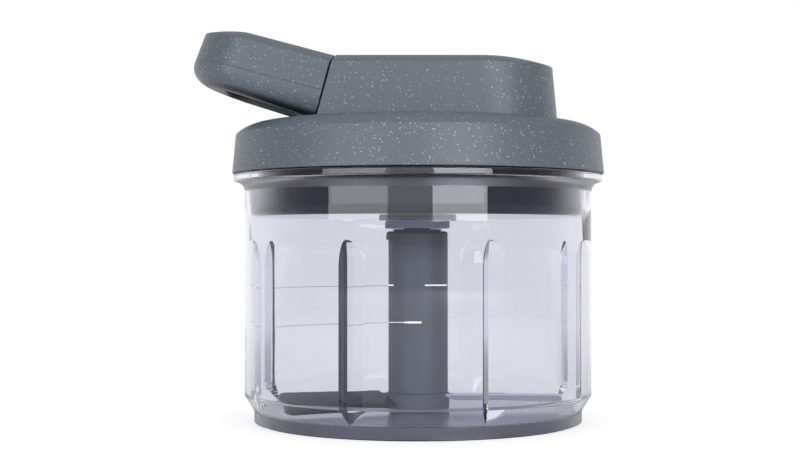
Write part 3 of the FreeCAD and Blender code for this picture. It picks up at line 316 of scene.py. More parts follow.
# Light: three softboxes side by side in front and a wide one behind, whose lower edges are level
# with the lid, and a soft lamp above. All are a metre and a half from the spindle.
LAMP_DISTANCE = 1.5
LAMP_BOTTOM = 0.09
LAMP_HEIGHT = 0.55
LAMPS = [
    # name, first and last heading in degrees to the right, brightness, seen mirrored or not
    ("right_softbox", 9, 44, 5.9, True),
    ("front_softbox", -19, 9, 1.1, True),
    ("left_softbox", -58, -19, 3.4, True),
    ("back_softbox", 150, 210, 2.6, False),
]
for name, first, last, brightness, mirrored in LAMPS:
    middle = math.radians((first + last) / 2)
    width = 2 * LAMP_DISTANCE * math.tan(math.radians(last - first) / 2)
    lamp_data = bpy.data.lights.new(name, "AREA")
    lamp_data.shape = "RECTANGLE"
    lamp_data.size = width
    lamp_data.size_y = LAMP_HEIGHT
    lamp_data.energy = brightness * math.pi * width * LAMP_HEIGHT
    lamp = bpy.data.objects.new(name, lamp_data)
    lamp.location = (
        LAMP_DISTANCE * math.sin(middle),
        -LAMP_DISTANCE * math.cos(middle),
        LAMP_BOTTOM + LAMP_HEIGHT / 2,
    )
    lamp.rotation_euler = (math.radians(90), 0, middle)
    lamp.visible_camera = False
    lamp.visible_transmission = False
    lamp.visible_glossy = mirrored
    bpy.context.scene.collection.objects.link(lamp)

TOP_SIZE = 1.2
TOP_BRIGHTNESS = 0.5
lamp_data = bpy.data.lights.new("top_lamp", "AREA")
lamp_data.size = TOP_SIZE
lamp_data.energy = TOP_BRIGHTNESS * math.pi * TOP_SIZE ** 2
lamp = bpy.data.objects.new("top_lamp", lamp_data)
lamp.location = (0, 0, LAMP_DISTANCE)
lamp.visible_camera = False
lamp.visible_transmission = False
bpy.context.scene.collection.objects.link(lamp)

# Surroundings: white to the eye and through the bowl. What is mirrored is a white wall behind
# the chopper, brighter low down, in a dark room, and a faint even light comes from all round.
AMBIENT = 0.3
WALL_HIGH = 0.4
THROUGH_FRONT = 0.75
world = bpy.data.worlds.new("studio")
world.use_nodes = True
world.node_tree.nodes.clear()
bpy.context.scene.world = world
start = Signal(world.node_tree)
heading = start.node("ShaderNodeTexCoord", output="Generated")
parts = heading.node("ShaderNodeSeparateXYZ", {}, {0: heading}, "Y")
behind = parts.between(0.0, 0.5) * (1 - (1 - WALL_HIGH) * parts.output("Z").between(0.2, 0.45))
rays = start.node("ShaderNodeLightPath", output="Is Camera Ray")
through = rays.output("Is Transmission Ray")
white = parts.between(-0.25, 0.0) * (1 - THROUGH_FRONT) + THROUGH_FRONT
seen = rays.math("MAXIMUM", rays, through * white)
glossy = rays.output("Is Glossy Ray")
unseen = glossy * behind + (1 - glossy) * AMBIENT
strength = seen + (1 - seen) * unseen
sky = start.node("ShaderNodeBackground", {}, {"Color": (1, 1, 1, 1), "Strength": strength})
start.node("ShaderNodeOutputWorld", {}, {"Surface": sky})
world.cycles.sampling_method = "NONE"
bpy.context.scene.view_settings.view_transform = "Standard"
bpy.context.scene.cycles.max_bounces = 24
bpy.context.scene.cycles.glossy_bounces = 12
bpy.context.scene.cycles.transmission_bounces = 16
bpy.context.scene.cycles.transparent_max_bounces = 16


# Bowl: one clear moulding, 1.6 mm thick, polished inside and out. Its wall, bevelled foot and
# rim are turned. Inside stand eight ribs, each a wedge with a steep side and a ramp, a round nose
# on top and a foot that narrows to a point over the bevel.
BOWL_RADIUS = 60.6
BOWL_INNER = 59.0
FLOOR_UNDER = 3.0
FLOOR_TOP = 4.5
BEVEL_TOP = 10.36
BEVEL_END = 55.35
BEVEL_EASE = 0.5
RIB_COUNT = 8
RIB_RIDGE = math.radians(-112.6)
RIB_STEEP = math.radians(2.4)
RIB_RAMP = math.radians(6.2)
RIB_DEPTH = 2.0
RIB_NOSE = 54.0
RIB_APEX = 63.6
PIN_HOLE = 2.95
PAD_RECESS = 54.15
GROOVE_TOP = 4.4
SKIRT_INNER = 56.0
SKIRT_OUTER = 57.3
SKIRT_BOTTOM = 0.5
HUB = 6.0
RIM_RADIUS = 64.5
RIM_UNDER = 84.0
RIM_TOP = 86.3
LIP_TOP = 88.6
CLEAR_TINT = colour(237, 237, 244)
CLEAR_THROUGH = colour(240, 240, 246)
LIP_FROST = 0.35
FOOT_FROST = 0.2


def rounded(corners, steps=6, closed=True):
    """An outline whose corners (across, up, radius) are arcs that touch both of their sides.

    With a and b the unit vectors from a corner to its neighbours, and h half the angle between
    them, the arc runs from radius / tan(h) along a to as far along b, round the centre that
    lies radius / sin(h) from the corner along a + b. The ends of an open outline stay points.
    """
    corners = np.array(corners, float)
    if not closed:
        corners = corners[:, :3]
    at = corners[:, :2]
    before, after = np.roll(at, 1, axis=0) - at, np.roll(at, -1, axis=0) - at
    inner = slice(None) if closed else slice(1, -1)
    at, radius = at[inner], corners[inner, 2:]
    a = before[inner] / np.linalg.norm(before[inner], axis=1, keepdims=True)
    b = after[inner] / np.linalg.norm(after[inner], axis=1, keepdims=True)
    half = np.arccos(np.clip(np.sum(a * b, axis=1, keepdims=True), -1, 1)) / 2
    middle = a + b
    centre = at + middle / np.linalg.norm(middle, axis=1, keepdims=True) * radius / np.sin(half)
    first, last = at + a * radius / np.tan(half) - centre, at + b * radius / np.tan(half) - centre
    share = np.linspace(0, 1, steps + 1)[:, None, None]
    swept = math.pi - 2 * half
    arc = np.sin((1 - share) * swept) * first + np.sin(share * swept) * last
    arc = centre + arc / np.sin(swept)
    outline = arc.transpose(1, 0, 2).reshape(-1, 2)
    if closed:
        return np.vstack([outline, outline[:1]])
    return np.vstack([corners[:1, :2], outline, corners[-1:, :2]])


def turned(outline, columns=180):
    """The surface that an outline of (radius, height) sweeps round the spindle's axis."""
    turn = np.linspace(0, 2 * math.pi, columns + 1)
    radius, height = np.array(outline).T[:, :, None]
    return np.stack([radius * np.cos(turn), radius * np.sin(turn), height + 0 * turn], axis=-1)


def rib_columns():
    """Directions of the bowl's columns, and each one's share of a rib's depth.

    Within one rib's sector a column stands at the ridge, plus place, plus spread times how wide
    the rib is at that height, so that the columns close up on the ridge as the rib runs out.
    """
    steep, ramp = np.linspace(-1, 0, 5)[:-1], np.linspace(0, 1, 9)
    rest = np.linspace(0, 1, 31)[1:-1]
    sector = 2 * math.pi / RIB_COUNT
    place = np.concatenate([0 * steep, 0 * ramp, sector * rest])
    spread = np.concatenate([
        RIB_STEEP * steep, RIB_RAMP * ramp, (1 - rest) * RIB_RAMP - rest * RIB_STEEP,
    ])
    depth = RIB_DEPTH * np.concatenate([1 + steep, 1 - ramp, 0 * rest])
    turns = np.repeat(np.arange(RIB_COUNT) * sector, len(place))
    place = RIB_RIDGE + turns + np.tile(place, RIB_COUNT)
    spread, depth = np.tile(spread, RIB_COUNT), np.tile(depth, RIB_COUNT)
    return (
        np.append(place, place[0] + 2 * math.pi), np.append(spread, spread[0]),
        np.append(depth, depth[0]),
    )


outside = rounded([
    (PIN_HOLE, FLOOR_UNDER, 0.05), (PAD_RECESS, FLOOR_UNDER, 0.2), (PAD_RECESS, GROOVE_TOP, 0.2),
    (SKIRT_INNER, GROOVE_TOP, 0.2), (SKIRT_INNER, SKIRT_BOTTOM, 0.3),
    (SKIRT_OUTER, SKIRT_BOTTOM, 0.4), (SKIRT_OUTER, 4.6, 0.5), (BOWL_RADIUS, 9.9, 0.8),
    (BOWL_RADIUS, RIM_UNDER, 3.6), (RIM_RADIUS, RIM_UNDER, 0.25), (RIM_RADIUS, RIM_TOP, 0.5),
    (BOWL_RADIUS, RIM_TOP, 0.3), (BOWL_RADIUS, LIP_TOP, 0.4), (BOWL_INNER, LIP_TOP, 0.4),
    (BOWL_INNER, 20.0, 0.1),
], closed=False)[:-1]
inside = rounded([
    (20.0, FLOOR_TOP, 0.1), (HUB, FLOOR_TOP, 0.4), (HUB, HUB, 0.3), (PIN_HOLE, HUB, 0.05),
    (PIN_HOLE, FLOOR_UNDER, 0.05),
], closed=False)
place, spread, depth = rib_columns()
ones = np.ones_like(place)
outside_rows = [(radius * ones, height * ones, ones) for radius, height in outside]
nose = np.linspace(0, math.pi / 2, 13)
run_out = [
    (BOWL_INNER - depth * width, height * ones, width * ones)
    for height, width in zip(RIB_NOSE + (RIB_APEX - RIB_NOSE) * np.cos(nose), np.sin(nose))
]

# The bevel inside runs from the wall, or a rib's ridge, to the floor. Its two bends are the
# parabolas (1 - share)² start + 2 share (1 - share) bend + share² end. A rib's width there is
# its height above the floor, as a share of the bevel's.
upper = (BOWL_INNER - depth, BEVEL_TOP * ones)
lower = (BEVEL_END * ones, FLOOR_TOP * ones)
slope = np.array([upper[0] - lower[0], upper[1] - lower[1]])
slope_run, slope_rise = BEVEL_EASE * slope / np.linalg.norm(slope, axis=0)
bends = [
    ((upper[0], upper[1] + BEVEL_EASE), upper, (upper[0] - slope_run, upper[1] - slope_rise)),
    ((lower[0] + slope_run, lower[1] + slope_rise), lower, (lower[0] - BEVEL_EASE, lower[1])),
]
corner_rows = []
for start, bend, end in bends:
    for share in np.linspace(0, 1, 7):
        corner = [
            (1 - share) ** 2 * first + 2 * share * (1 - share) * middle + share ** 2 * last
            for first, middle, last in zip(start, bend, end)
        ]
        narrowed = np.clip((corner[1] - FLOOR_TOP) / (BEVEL_TOP - FLOOR_TOP), 0, 1)
        corner_rows.append((*corner, narrowed))
inside_rows = [(radius * ones, height * ones, ones) for radius, height in inside]
radius, height, width = map(np.array, zip(*outside_rows, *run_out, *corner_rows, *inside_rows))
direction = place + spread * width
bowl = piece_of("clear_bowl", np.stack(
    [radius * np.cos(direction), radius * np.sin(direction), height], axis=-1
))

bowl_finish, point = new_finish("clear_plastic")
level = point.node("ShaderNodeSeparateXYZ", {}, {0: point}, "Z")
lip = level.between(80.2, 80.8) * level.between(RIM_UNDER + 0.1, RIM_UNDER - 0.2)
frosted = lip * LIP_FROST + level.between(6.5, 5.0) * FOOT_FROST
clear = point.node("ShaderNodeBsdfPrincipled", {}, {
    "Base Color": CLEAR_TINT,
    "Roughness": point.noise(25).between(0.2, 1.0) * 0.02 + frosted,
    "IOR": 1.5,
    "Transmission Weight": 1.0,
    "Normal": point.node("ShaderNodeBump", {}, {"Height": point.noise(18) * 0.02, "Distance": MM}),
})

# Shadow rays go straight through the bowl. So do rays that a surface has scattered or mirrored,
# where they enter the bowl, have gone straight through it before, or meet a rib.
open_way = point.node("ShaderNodeBsdfTransparent", {}, {"Color": CLEAR_THROUGH})
shadow = point.node("ShaderNodeLightPath", output="Is Shadow Ray")
bounced = shadow.math("MAXIMUM", shadow.output("Is Diffuse Ray"), shadow.output("Is Glossy Ray"))
bounced = bounced * (1 - shadow.output("Is Transmission Ray"))
entering = 1 - point.node("ShaderNodeNewGeometry", output="Backfacing")
passing = shadow.math("GREATER_THAN", shadow.output("Transparent Depth"), 0.5)
outward = point.vector("MULTIPLY", point, (1, 1, 0))
from_axis = outward.vector("LENGTH", outward, output="Value")
on_rib = from_axis.between(BOWL_INNER - 0.3, BOWL_INNER - 0.6) * level.between(11, 12)
open_for = shadow.math("MAXIMUM", on_rib, shadow.math("MAXIMUM", entering, passing))
straight = shadow.math("MAXIMUM", shadow, bounced * open_for)
mixed = point.node("ShaderNodeMixShader", {}, {0: straight, 1: clear, 2: open_way})
point.node("ShaderNodeOutputMaterial", {}, {"Surface": mixed})
finished(bowl, "bowl", "clear_plastic", bowl_finish, "bowl")


# Level marks: thin white lines printed on the outside of the bowl, two long ones at the back and
# short ticks in front. Each is a strip of ink that stands a twentieth of a millimetre proud. The
# ink glows faintly, painted light that keeps the marks white where the bowl's walls shade them.
INK_UNDER = 0.01
INK_TOP = 0.05
INK_COVER = 0.7
INK_PAINTED_GLOW = 0.25
MARKS = [
    # height, first and last heading in degrees, width
    (46.1, 99.0, 161.0, 0.4), (31.6, 99.0, 153.0, 0.4), (49.4, -98.9, -97.3, 0.4),
    (49.4, -88.0, -81.5, 0.4), (37.8, -99.0, -94.0, 0.2), (37.8, -94.0, -89.0, 0.6),
]
ink_finish, point = new_finish("printed_white")
close_finish(
    point,
    base_color=point.noise(0.6).mix(colour(236, 238, 242), colour(250, 250, 252)),
    roughness=0.5,
    # painted light: a faint glow keeps the far marks white behind the bowl's walls
    emission_color=colour(250, 250, 255),
    emission_strength=INK_PAINTED_GLOW,
    alpha=INK_COVER,
)
strips = []
for middle, first, last, width in MARKS:
    low, high = middle - width / 2, middle + width / 2
    near, far = BOWL_RADIUS + INK_UNDER, BOWL_RADIUS + INK_TOP
    section = np.array([(near, low), (far, low), (far, high), (near, high), (near, low)])
    turn = np.radians(np.concatenate([[first], np.linspace(first, last, 61), [last]]))[None, :]
    across, up = section.T[:, :, None]
    across, up = across + 0 * turn, up + 0 * turn
    across[:, [0, -1]], up[:, [0, -1]] = (near + far) / 2, middle
    strips.append(np.stack([across * np.cos(turn), across * np.sin(turn), up], axis=-1))
marks = piece_of("level_marks", *strips)
finished(marks, "bowl", "clear_plastic", ink_finish)


# Base pad: a grey rubber disc in the recess under the bowl. Its raised rim is pressed into the
# groove behind the foot skirt. Its top under the bowl's floor is painted pale, as painted light
# seen through the floor, and its foot at the table is painted dark, as a painted contact shadow.
PAD_RADIUS = 55.95
PAD_RIM = 54.25
PAD_RIM_TOP = 4.3
PAD_TOP = 2.95
PAD_GREY = (colour(90, 97, 106), colour(100, 107, 116))
PAD_PAINTED_LIGHT = colour(235, 240, 248)
PAD_PAINTED_SHADOW = colour(24, 28, 35)
rubber, point = new_finish("grip_rubber")
grain = point.noise(0.7)
level = point.node("ShaderNodeSeparateXYZ", {}, {0: point}, "Z")
middle = point.vector("LENGTH", point, output="Value").between(52, 49)
# painted light: the middle of the pad's top, seen through the floor, is painted pale
painted_light_top = level.between(PAD_TOP - 0.25, PAD_TOP - 0.05) * middle
# painted shadow: the pad's foot at the table is painted dark as a contact shadow
painted_shadow_at_table = level.between(0.9, 0.5)
close_finish(
    point,
    base_color=painted_shadow_at_table.mix(painted_light_top.mix(grain.mix(*PAD_GREY), PAD_PAINTED_LIGHT), PAD_PAINTED_SHADOW),
    roughness=0.65 + point.noise(4) * 0.15,
    height=grain * 0.02,
)
base_pad = piece_of("rubber_pad", turned(rounded([
    (0, 0.15, 0), (30, 0.15, 0.1), (31, 0, 0.2), (PAD_RADIUS, 0, 0.6),
    (PAD_RADIUS, PAD_RIM_TOP, 0.3), (PAD_RIM, PAD_RIM_TOP, 0.3), (PAD_RIM, PAD_TOP, 0.2),
    (0, PAD_TOP, 0),
], closed=False)))
finished(base_pad, "bowl", "grip_rubber", rubber, "base_pad")


# Blade unit: a plain column on a collar, both moulded in the lid's grey without its flecks.
# The column's top has the six-sided socket that the drive dog drops into.
SPINDLE_RADIUS = 10.45
SPINDLE_FOOT = 10.4
SPINDLE_TOP = 66.8
SOCKET_BOTTOM = 54.8
SOCKET_RADIUS = 8.3
COLLAR_RADIUS = 11.0
BUSH_HOLE = 5.0
BUSH_TOP = 44.4


def six_sided(corner_radius, turn):
    """The distance from the middle of a hexagon to its side: its flat's distance over the
    cosine of the turn away from that flat's middle."""
    flat = corner_radius * math.cos(math.pi / 6)
    return flat / np.cos(np.mod(turn, math.pi / 3) - math.pi / 6)


plain, point = new_finish("plain_plastic")
grain = point.noise(0.5)
close_finish(
    point,
    base_color=point.noise(3).mix(colour(95, 103, 113), colour(101, 109, 119)),
    roughness=0.42 + grain * 0.1,
    height=grain * 0.002,
)
turn = np.linspace(0, 2 * math.pi, 181)
body_rows = rounded([
    (BUSH_HOLE, BUSH_TOP, 0), (BUSH_HOLE, SPINDLE_FOOT, 0.3), (SPINDLE_RADIUS, SPINDLE_FOOT, 0.3),
    (SPINDLE_RADIUS, SPINDLE_TOP, 1.0), (9.4, SPINDLE_TOP, 0.05), (9.0, SPINDLE_TOP, 0),
], closed=False)
hexagon = six_sided(SOCKET_RADIUS, turn)
rows = [(0 * turn, BUSH_TOP)] + [(radius + 0 * turn, height) for radius, height in body_rows]
rows += [
    (hexagon + 0.2, SPINDLE_TOP), (hexagon, SPINDLE_TOP - 0.3), (hexagon, SOCKET_BOTTOM + 0.2),
    (hexagon - 0.2, SOCKET_BOTTOM), (0 * turn, SOCKET_BOTTOM),
]
spindle = piece_of("spindle_column", np.array([
    np.stack([radius * np.cos(turn), radius * np.sin(turn), height + 0 * turn], axis=-1)
    for radius, height in rows
]))
finished(spindle, "blade_unit", "plain_plastic", plain, "blade_spindle")

foot = piece_of("spindle_collar", turned(rounded([
    (6.3, 4.85, 0.1), (COLLAR_RADIUS, 4.85, 0.4), (COLLAR_RADIUS, SPINDLE_FOOT, 0.5),
    (7.25, SPINDLE_FOOT, 0.1), (7.25, 16.0, 0.2), (BUSH_HOLE, 16.0, 0.1), (BUSH_HOLE, 6.3, 0.1),
    (6.3, 6.3, 0.1),
])))
finished(foot, "blade_unit", "plain_plastic", plain, "spindle_foot")


# Blades: two pitched wings of stamped steel sheet, one a little lower than the other, clamped in
# the collar by their tangs. The leading edge is ground to a bevel and points down. Both are the
# same steel, painted two ways: the lower one dark, glossy and fully metallic as painted shade, and
# the upper one pale, dull and barely metallic with a faint glow as painted light.
BLADE_THICKNESS = 1.0
BLADE_REACH = 50.8
EDGE_HALF = 0.06
GRIND_SLOPE = 0.45
BACK_SLOPE = 1.5
TANG_START = 7.7
TANG_HALF = 5.0
WING_ROOT = 12.6
WING_LEADING = 7.0
WING_TRAILING = 7.2
WING_FLARE = 1.4
WING_SWEEP = 1.6
TIP_ROUND = 3.0
SCRATCH_LIGHTER = 16
BLADES = [
    # name, height, heading and tilt in degrees, node, painted shade, how metallic, rough and how much it glows as
    # painted light
    ("lower_wing", 8.2, 204.0, 20.0, "lower_blade", (122, 132, 144), 1.0, 0.16, 0.0),
    ("upper_wing", 8.7, 356.0, 12.0, "upper_blade", (230, 232, 234), 0.15, 0.35, 0.14),
]


def wing(height, heading, tilt):
    """A blade's outline round its chord, carried along its reach, and its two ends.

    The half widths grow evenly from root to tip, and the tip's corners are quarter circles. Half
    the thickness grows from the leading edge with the slope of its grind, and faster from the
    back, up to that of the sheet. The tip sweeps back in step with reach and chord.
    """
    reach = np.concatenate([
        [TANG_START, WING_ROOT - 0.6], np.linspace(WING_ROOT, BLADE_REACH - TIP_ROUND, 8),
        BLADE_REACH - TIP_ROUND + TIP_ROUND * np.sin(np.linspace(0, math.pi / 2, 9)[1:]),
    ])[:, None]
    along = (reach - WING_ROOT) / (BLADE_REACH - WING_ROOT)
    drawn_in = TIP_ROUND - np.sqrt(
        np.maximum(TIP_ROUND ** 2 - np.maximum(reach - BLADE_REACH + TIP_ROUND, 0) ** 2, 0)
    )
    on_tang = reach < WING_ROOT
    leading = np.where(on_tang, TANG_HALF, WING_LEADING + WING_FLARE * along - drawn_in)
    trailing = np.where(on_tang, TANG_HALF, WING_TRAILING + WING_FLARE * along - drawn_in)
    share = np.array([0, 0.02, 0.06, 0.3, 0.6, 0.93, 0.98, 1.0])[None, :]
    chord = -trailing + (leading + trailing) * share
    from_front = leading - chord
    from_back = chord + trailing
    ground = EDGE_HALF + GRIND_SLOPE * np.minimum(from_front, BACK_SLOPE * from_back)
    thick = np.minimum(BLADE_THICKNESS / 2, ground)
    widest = WING_LEADING + WING_TRAILING + 2 * WING_FLARE
    lag = WING_SWEEP * np.clip(from_front / widest, 0, 1) * np.clip(along, 0, 1)
    sides = []
    for side in (1, -1):
        x, y, z = reach - lag, chord, side * thick + 0 * chord
        y, z = (
            y * math.cos(tilt) + z * math.sin(tilt),
            -y * math.sin(tilt) + z * math.cos(tilt),
        )
        x, y = (
            x * math.cos(heading) - y * math.sin(heading),
            x * math.sin(heading) + y * math.cos(heading),
        )
        sides.append(np.stack([x, y, z + height], axis=-1))
    upper, lower = sides
    around = np.concatenate([upper[:, :1], lower, upper[:, ::-1]], axis=1)
    return around, np.stack([upper[0], lower[0]]), np.stack([lower[-1], upper[-1]])


for name, height, heading, tilt, node, shade, metal, dull, glow in BLADES:
    blade_steel, point = new_finish(name + "_steel")
    scratches = point.vector("MULTIPLY", point, (0.6, 6.0, 6.0)).noise(1.0, detail=4)
    lighter = (part + SCRATCH_LIGHTER for part in shade)
    # Each wing's shade and faint glow are painted shade and painted light on one steel.
    close_finish(
        point,
        base_color=scratches.mix(colour(*shade), colour(*lighter)),
        metallic=metal,
        roughness=dull + point.noise(9) * 0.08 + scratches * 0.08,
        height=scratches * 0.004,
        emission_color=colour(*shade),
        emission_strength=glow,
    )
    blade = piece_of(name, *wing(height, math.radians(heading), math.radians(tilt)))
    finished(blade, "blade_unit", "blade_steel", blade_steel, node)


# Lid plug: a glossy dark tub that closes the bowl, with a flange on top and a paler collar of two
# steps in the middle of its floor. Three screws hold it to the cover from below. Its wall from the
# bowl's rim up is painted black as painted shade, and the collar's lower step is painted paler
# still as painted light where the plug shades it.
PLUG_RADIUS = 58.7
PLUG_BOTTOM = 71.8
PLUG_TOP = 92.5
PLUG_FLANGE = 62.35
PLUG_FLANGE_UNDER = 90.5
PLUG_WALL = 2.2
PLUG_FLOOR = 74.8
PLUG_BORE = 8.1
LOWER_STEP = 70.6
LOWER_STEP_BOTTOM = 67.8
LOWER_STEP_RADIUS = 11.1
UPPER_STEP_RADIUS = 13.4
PLUG_GREY = (colour(34, 41, 51), colour(40, 47, 57))
PLUG_PAINTED_SHADE = colour(4, 6, 9)
COLLAR_GREY = colour(106, 116, 128)
STEP_PAINTED_LIGHT = colour(180, 190, 202)
PLUG_TINT = (0.82, 0.92, 1.0, 1.0)
SCREW_HEAD = 2.8
SCREW_HOLE = 2.9
SCREW_SINK = 2.2


def bored(piece, places, direction, radius, start, end):
    """Cuts round holes into a piece, from start to end along a direction from each place."""
    cutter = piece_of("cutter", *[
        tube(np.array(place, float), np.array(direction, float), [start, start, end, end],
             [0, radius, radius, 0], 48)[::-1]
        for place in places
    ])
    cut = piece.modifiers.new("bore", "BOOLEAN")
    cut.object = cutter
    cut.solver = "EXACT"
    bpy.context.view_layer.update()
    seen_by = bpy.context.evaluated_depsgraph_get()
    mesh = bpy.data.meshes.new_from_object(piece.evaluated_get(seen_by))
    piece.modifiers.clear()
    piece.data = mesh
    shaded(mesh)
    bpy.data.objects.remove(cutter)


glossy_plain, point = new_finish("polished_plastic")
level = point.node("ShaderNodeSeparateXYZ", {}, {0: point}, "Z")
# painted shade: the wall from the bowl's rim up is painted black
skirt = level.between(83.2, 83.8).mix(point.noise(3).mix(*PLUG_GREY), PLUG_PAINTED_SHADE)
collar = level.between(PLUG_BOTTOM - 0.05, PLUG_BOTTOM - 0.15)
# painted light: the lower step is painted paler where the plug shades it
painted_lit_step = level.between(LOWER_STEP + 0.15, LOWER_STEP - 0.05)
close_finish(
    point,
    base_color=painted_lit_step.mix(collar.mix(skirt, COLLAR_GREY), STEP_PAINTED_LIGHT),
    roughness=0.03 + point.noise(12) * 0.02 + collar * 0.4,
    specular_ior_level=0.42,
    specular_tint=PLUG_TINT,
)
plug = piece_of("plug", turned(rounded([
    (PLUG_BORE, LOWER_STEP_BOTTOM, 0.15), (LOWER_STEP_RADIUS, LOWER_STEP_BOTTOM, 0.5),
    (LOWER_STEP_RADIUS, LOWER_STEP, 0.2), (UPPER_STEP_RADIUS, LOWER_STEP, 0.4),
    (UPPER_STEP_RADIUS, PLUG_BOTTOM, 0.2), (PLUG_RADIUS, PLUG_BOTTOM, 3.2),
    (PLUG_RADIUS, PLUG_FLANGE_UNDER, 0.3), (PLUG_FLANGE, PLUG_FLANGE_UNDER, 0.3),
    (PLUG_FLANGE, PLUG_TOP, 0.3), (PLUG_RADIUS - PLUG_WALL, PLUG_TOP, 0.3),
    (PLUG_RADIUS - PLUG_WALL, PLUG_FLOOR, 1.0), (PLUG_BORE, PLUG_FLOOR, 0.2),
])))
post_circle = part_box("plug_screws")[1].y / MM - SCREW_HEAD
plug_places = [
    (post_circle * math.cos(turn), post_circle * math.sin(turn), PLUG_BOTTOM)
    for turn in math.pi / 2 + 2 * math.pi / 3 * np.arange(3)
]
bored(plug, plug_places, (0, 0, 1), SCREW_HOLE, -1.0, SCREW_SINK)
finished(plug, "lid", "plain_plastic", glossy_plain, "lid_plug")


# Lid cover: the wide speckled cover, moulded in grey plastic with pale fibres in it. A short
# tapered skirt turns over a domed shoulder into a flat top. It is matt, and its faces that look
# down are painted dark as painted shade.
LID_RADIUS = 65.0
CREASE_RADIUS = 63.7
PLATEAU_RADIUS = 53.4
LID_EDGE = 86.6
CREASE = 100.2
PLATEAU = 104.2
LID_WALL = 2.3
LID_SEAT = (62.4, 92.6)
LID_BORE = 61.4
BEARING_HOLE = 8.2
FLECK_CELL = 1.7
FLECK_LENGTH = 1.0
FLECK_RADIUS = 0.14
FINE_CELL = 0.95
FINE_LENGTH = 0.5
FINE_RADIUS = 0.11
GROUND_GREY = (colour(96, 105, 116), colour(112, 121, 132))
FLECK_TONES = (colour(226, 220, 206), colour(226, 230, 234))
UNDER_PAINTED_SHADE = colour(32, 37, 46)

speckled, point = new_finish("speckled_plastic")


def flecks(cell, length, radius, least):
    """Short fibres, one in a cell of a Voronoi pattern: how much of one a point is in, and two
    numbers drawn for it. A point is in a fibre where the nearest point of the fibre's line, which
    runs through the cell's own point, is less than a radius away. Those drawn under least fade."""
    cells = point.node(
        "ShaderNodeTexVoronoi", {}, {"Vector": point.scaled(1 / cell), "Scale": 1.0}, "Position"
    )
    draw = cells.output("Color")
    parts = draw.node("ShaderNodeSeparateXYZ", {}, {0: draw}, "X")
    reach = (parts.output("Z") * 0.7 + 0.3) * (length / 2)
    offset = point.vector("SUBTRACT", point, cells.scaled(cell))
    aim = draw.vector("NORMALIZE", draw.vector("SUBTRACT", draw, (0.5, 0.5, 0.5)))
    along = draw.vector("DOT_PRODUCT", offset, aim, output="Value")
    along = along.math("MINIMUM", along.math("MAXIMUM", along, reach * -1), reach)
    nearest = draw.node("ShaderNodeVectorMath", {"operation": "SCALE"}, {0: aim, "Scale": along})
    away = draw.vector("DISTANCE", offset, nearest, output="Value")
    inside = 1 - away.between(radius * 0.7, radius * 1.2)
    return inside * parts.output("Y").between(least, 1.0), parts


bright, parts = flecks(FLECK_CELL, FLECK_LENGTH, FLECK_RADIUS, 0.0)
faint, _ = flecks(FINE_CELL, FINE_LENGTH, FINE_RADIUS, 0.2)
fleck = bright.math("MAXIMUM", bright, faint)
grain = point.noise(0.35)
cloud = point.noise(6)
# painted shade: faces that look down are painted dark
facing = point.node("ShaderNodeTexCoord", output="Normal")
below = facing.node("ShaderNodeSeparateXYZ", {}, {0: facing}, "Z").between(-0.6, -0.9)
ground = (grain * 0.7 + cloud * 0.3).mix(*GROUND_GREY)
tone = parts.between(0.0, 0.5).mix(*FLECK_TONES)
close_finish(
    point,
    base_color=below.mix(fleck.mix(ground, tone), UNDER_PAINTED_SHADE),
    roughness=0.36 + grain * 0.08,
    specular_ior_level=0.4,
    height=grain * 0.01,
)
arc_run = CREASE_RADIUS - PLATEAU_RADIUS
arc_rise = PLATEAU - CREASE
dome_radius = (arc_run ** 2 + arc_rise ** 2) / (2 * arc_rise)


def dome(start, end, radius, centre_height, steps=16):
    """Points of the shoulder's arc round a centre straight below the flat top's edge."""
    across = np.linspace(start, end, steps)
    return np.stack([
        across, centre_height + np.sqrt(radius ** 2 - (across - PLATEAU_RADIUS) ** 2),
    ], axis=-1)


centre_height = PLATEAU - dome_radius
outer = rounded([
    (*LID_SEAT, 0), (LID_SEAT[0], LID_EDGE, 0.3), (LID_RADIUS, LID_EDGE, 0.5),
    (CREASE_RADIUS, CREASE, 0.5), (CREASE_RADIUS - 2, CREASE + 1.36, 0),
], closed=False)[:-1]
shoulder = dome(CREASE_RADIUS - 0.9, PLATEAU_RADIUS, dome_radius, centre_height)
inner_shoulder = dome(PLATEAU_RADIUS, CREASE_RADIUS - 3.2, dome_radius - LID_WALL, centre_height)
lid = piece_of("lid_shell", turned(np.vstack([
    outer, shoulder, [(BEARING_HOLE, PLATEAU), (BEARING_HOLE, PLATEAU - LID_WALL)],
    inner_shoulder, [(LID_BORE, 98.2), (LID_BORE, LID_SEAT[1]), LID_SEAT],
]), columns=240), sharp=20)
finished(lid, "lid", "speckled_plastic", speckled, "lid_cover")


# Housing: the raised speckled cover over the cord spool, a D in plan with its round end to the
# right and a softly domed top. Its flat end leans back and carries the eyelet for the cord.
HALF_WIDTH = 26.5
HOUSING_EDGE = 123.8
HOUSING_END_FOOT = 22.5
HOUSING_END_TOP = 20.7
HOUSING_WALL = 2.2
SEAM_TOP = -29.0
SEAM_LEAN = math.radians(15.4)
CORNER_HEIGHT = 123.701
DOME_RADIUS = 78.6
DOME_WIDTH = 12.0
DOME_RISE = 3.3
EYELET_HOLE = 3.62
EYELET_DEPTH = 6.0


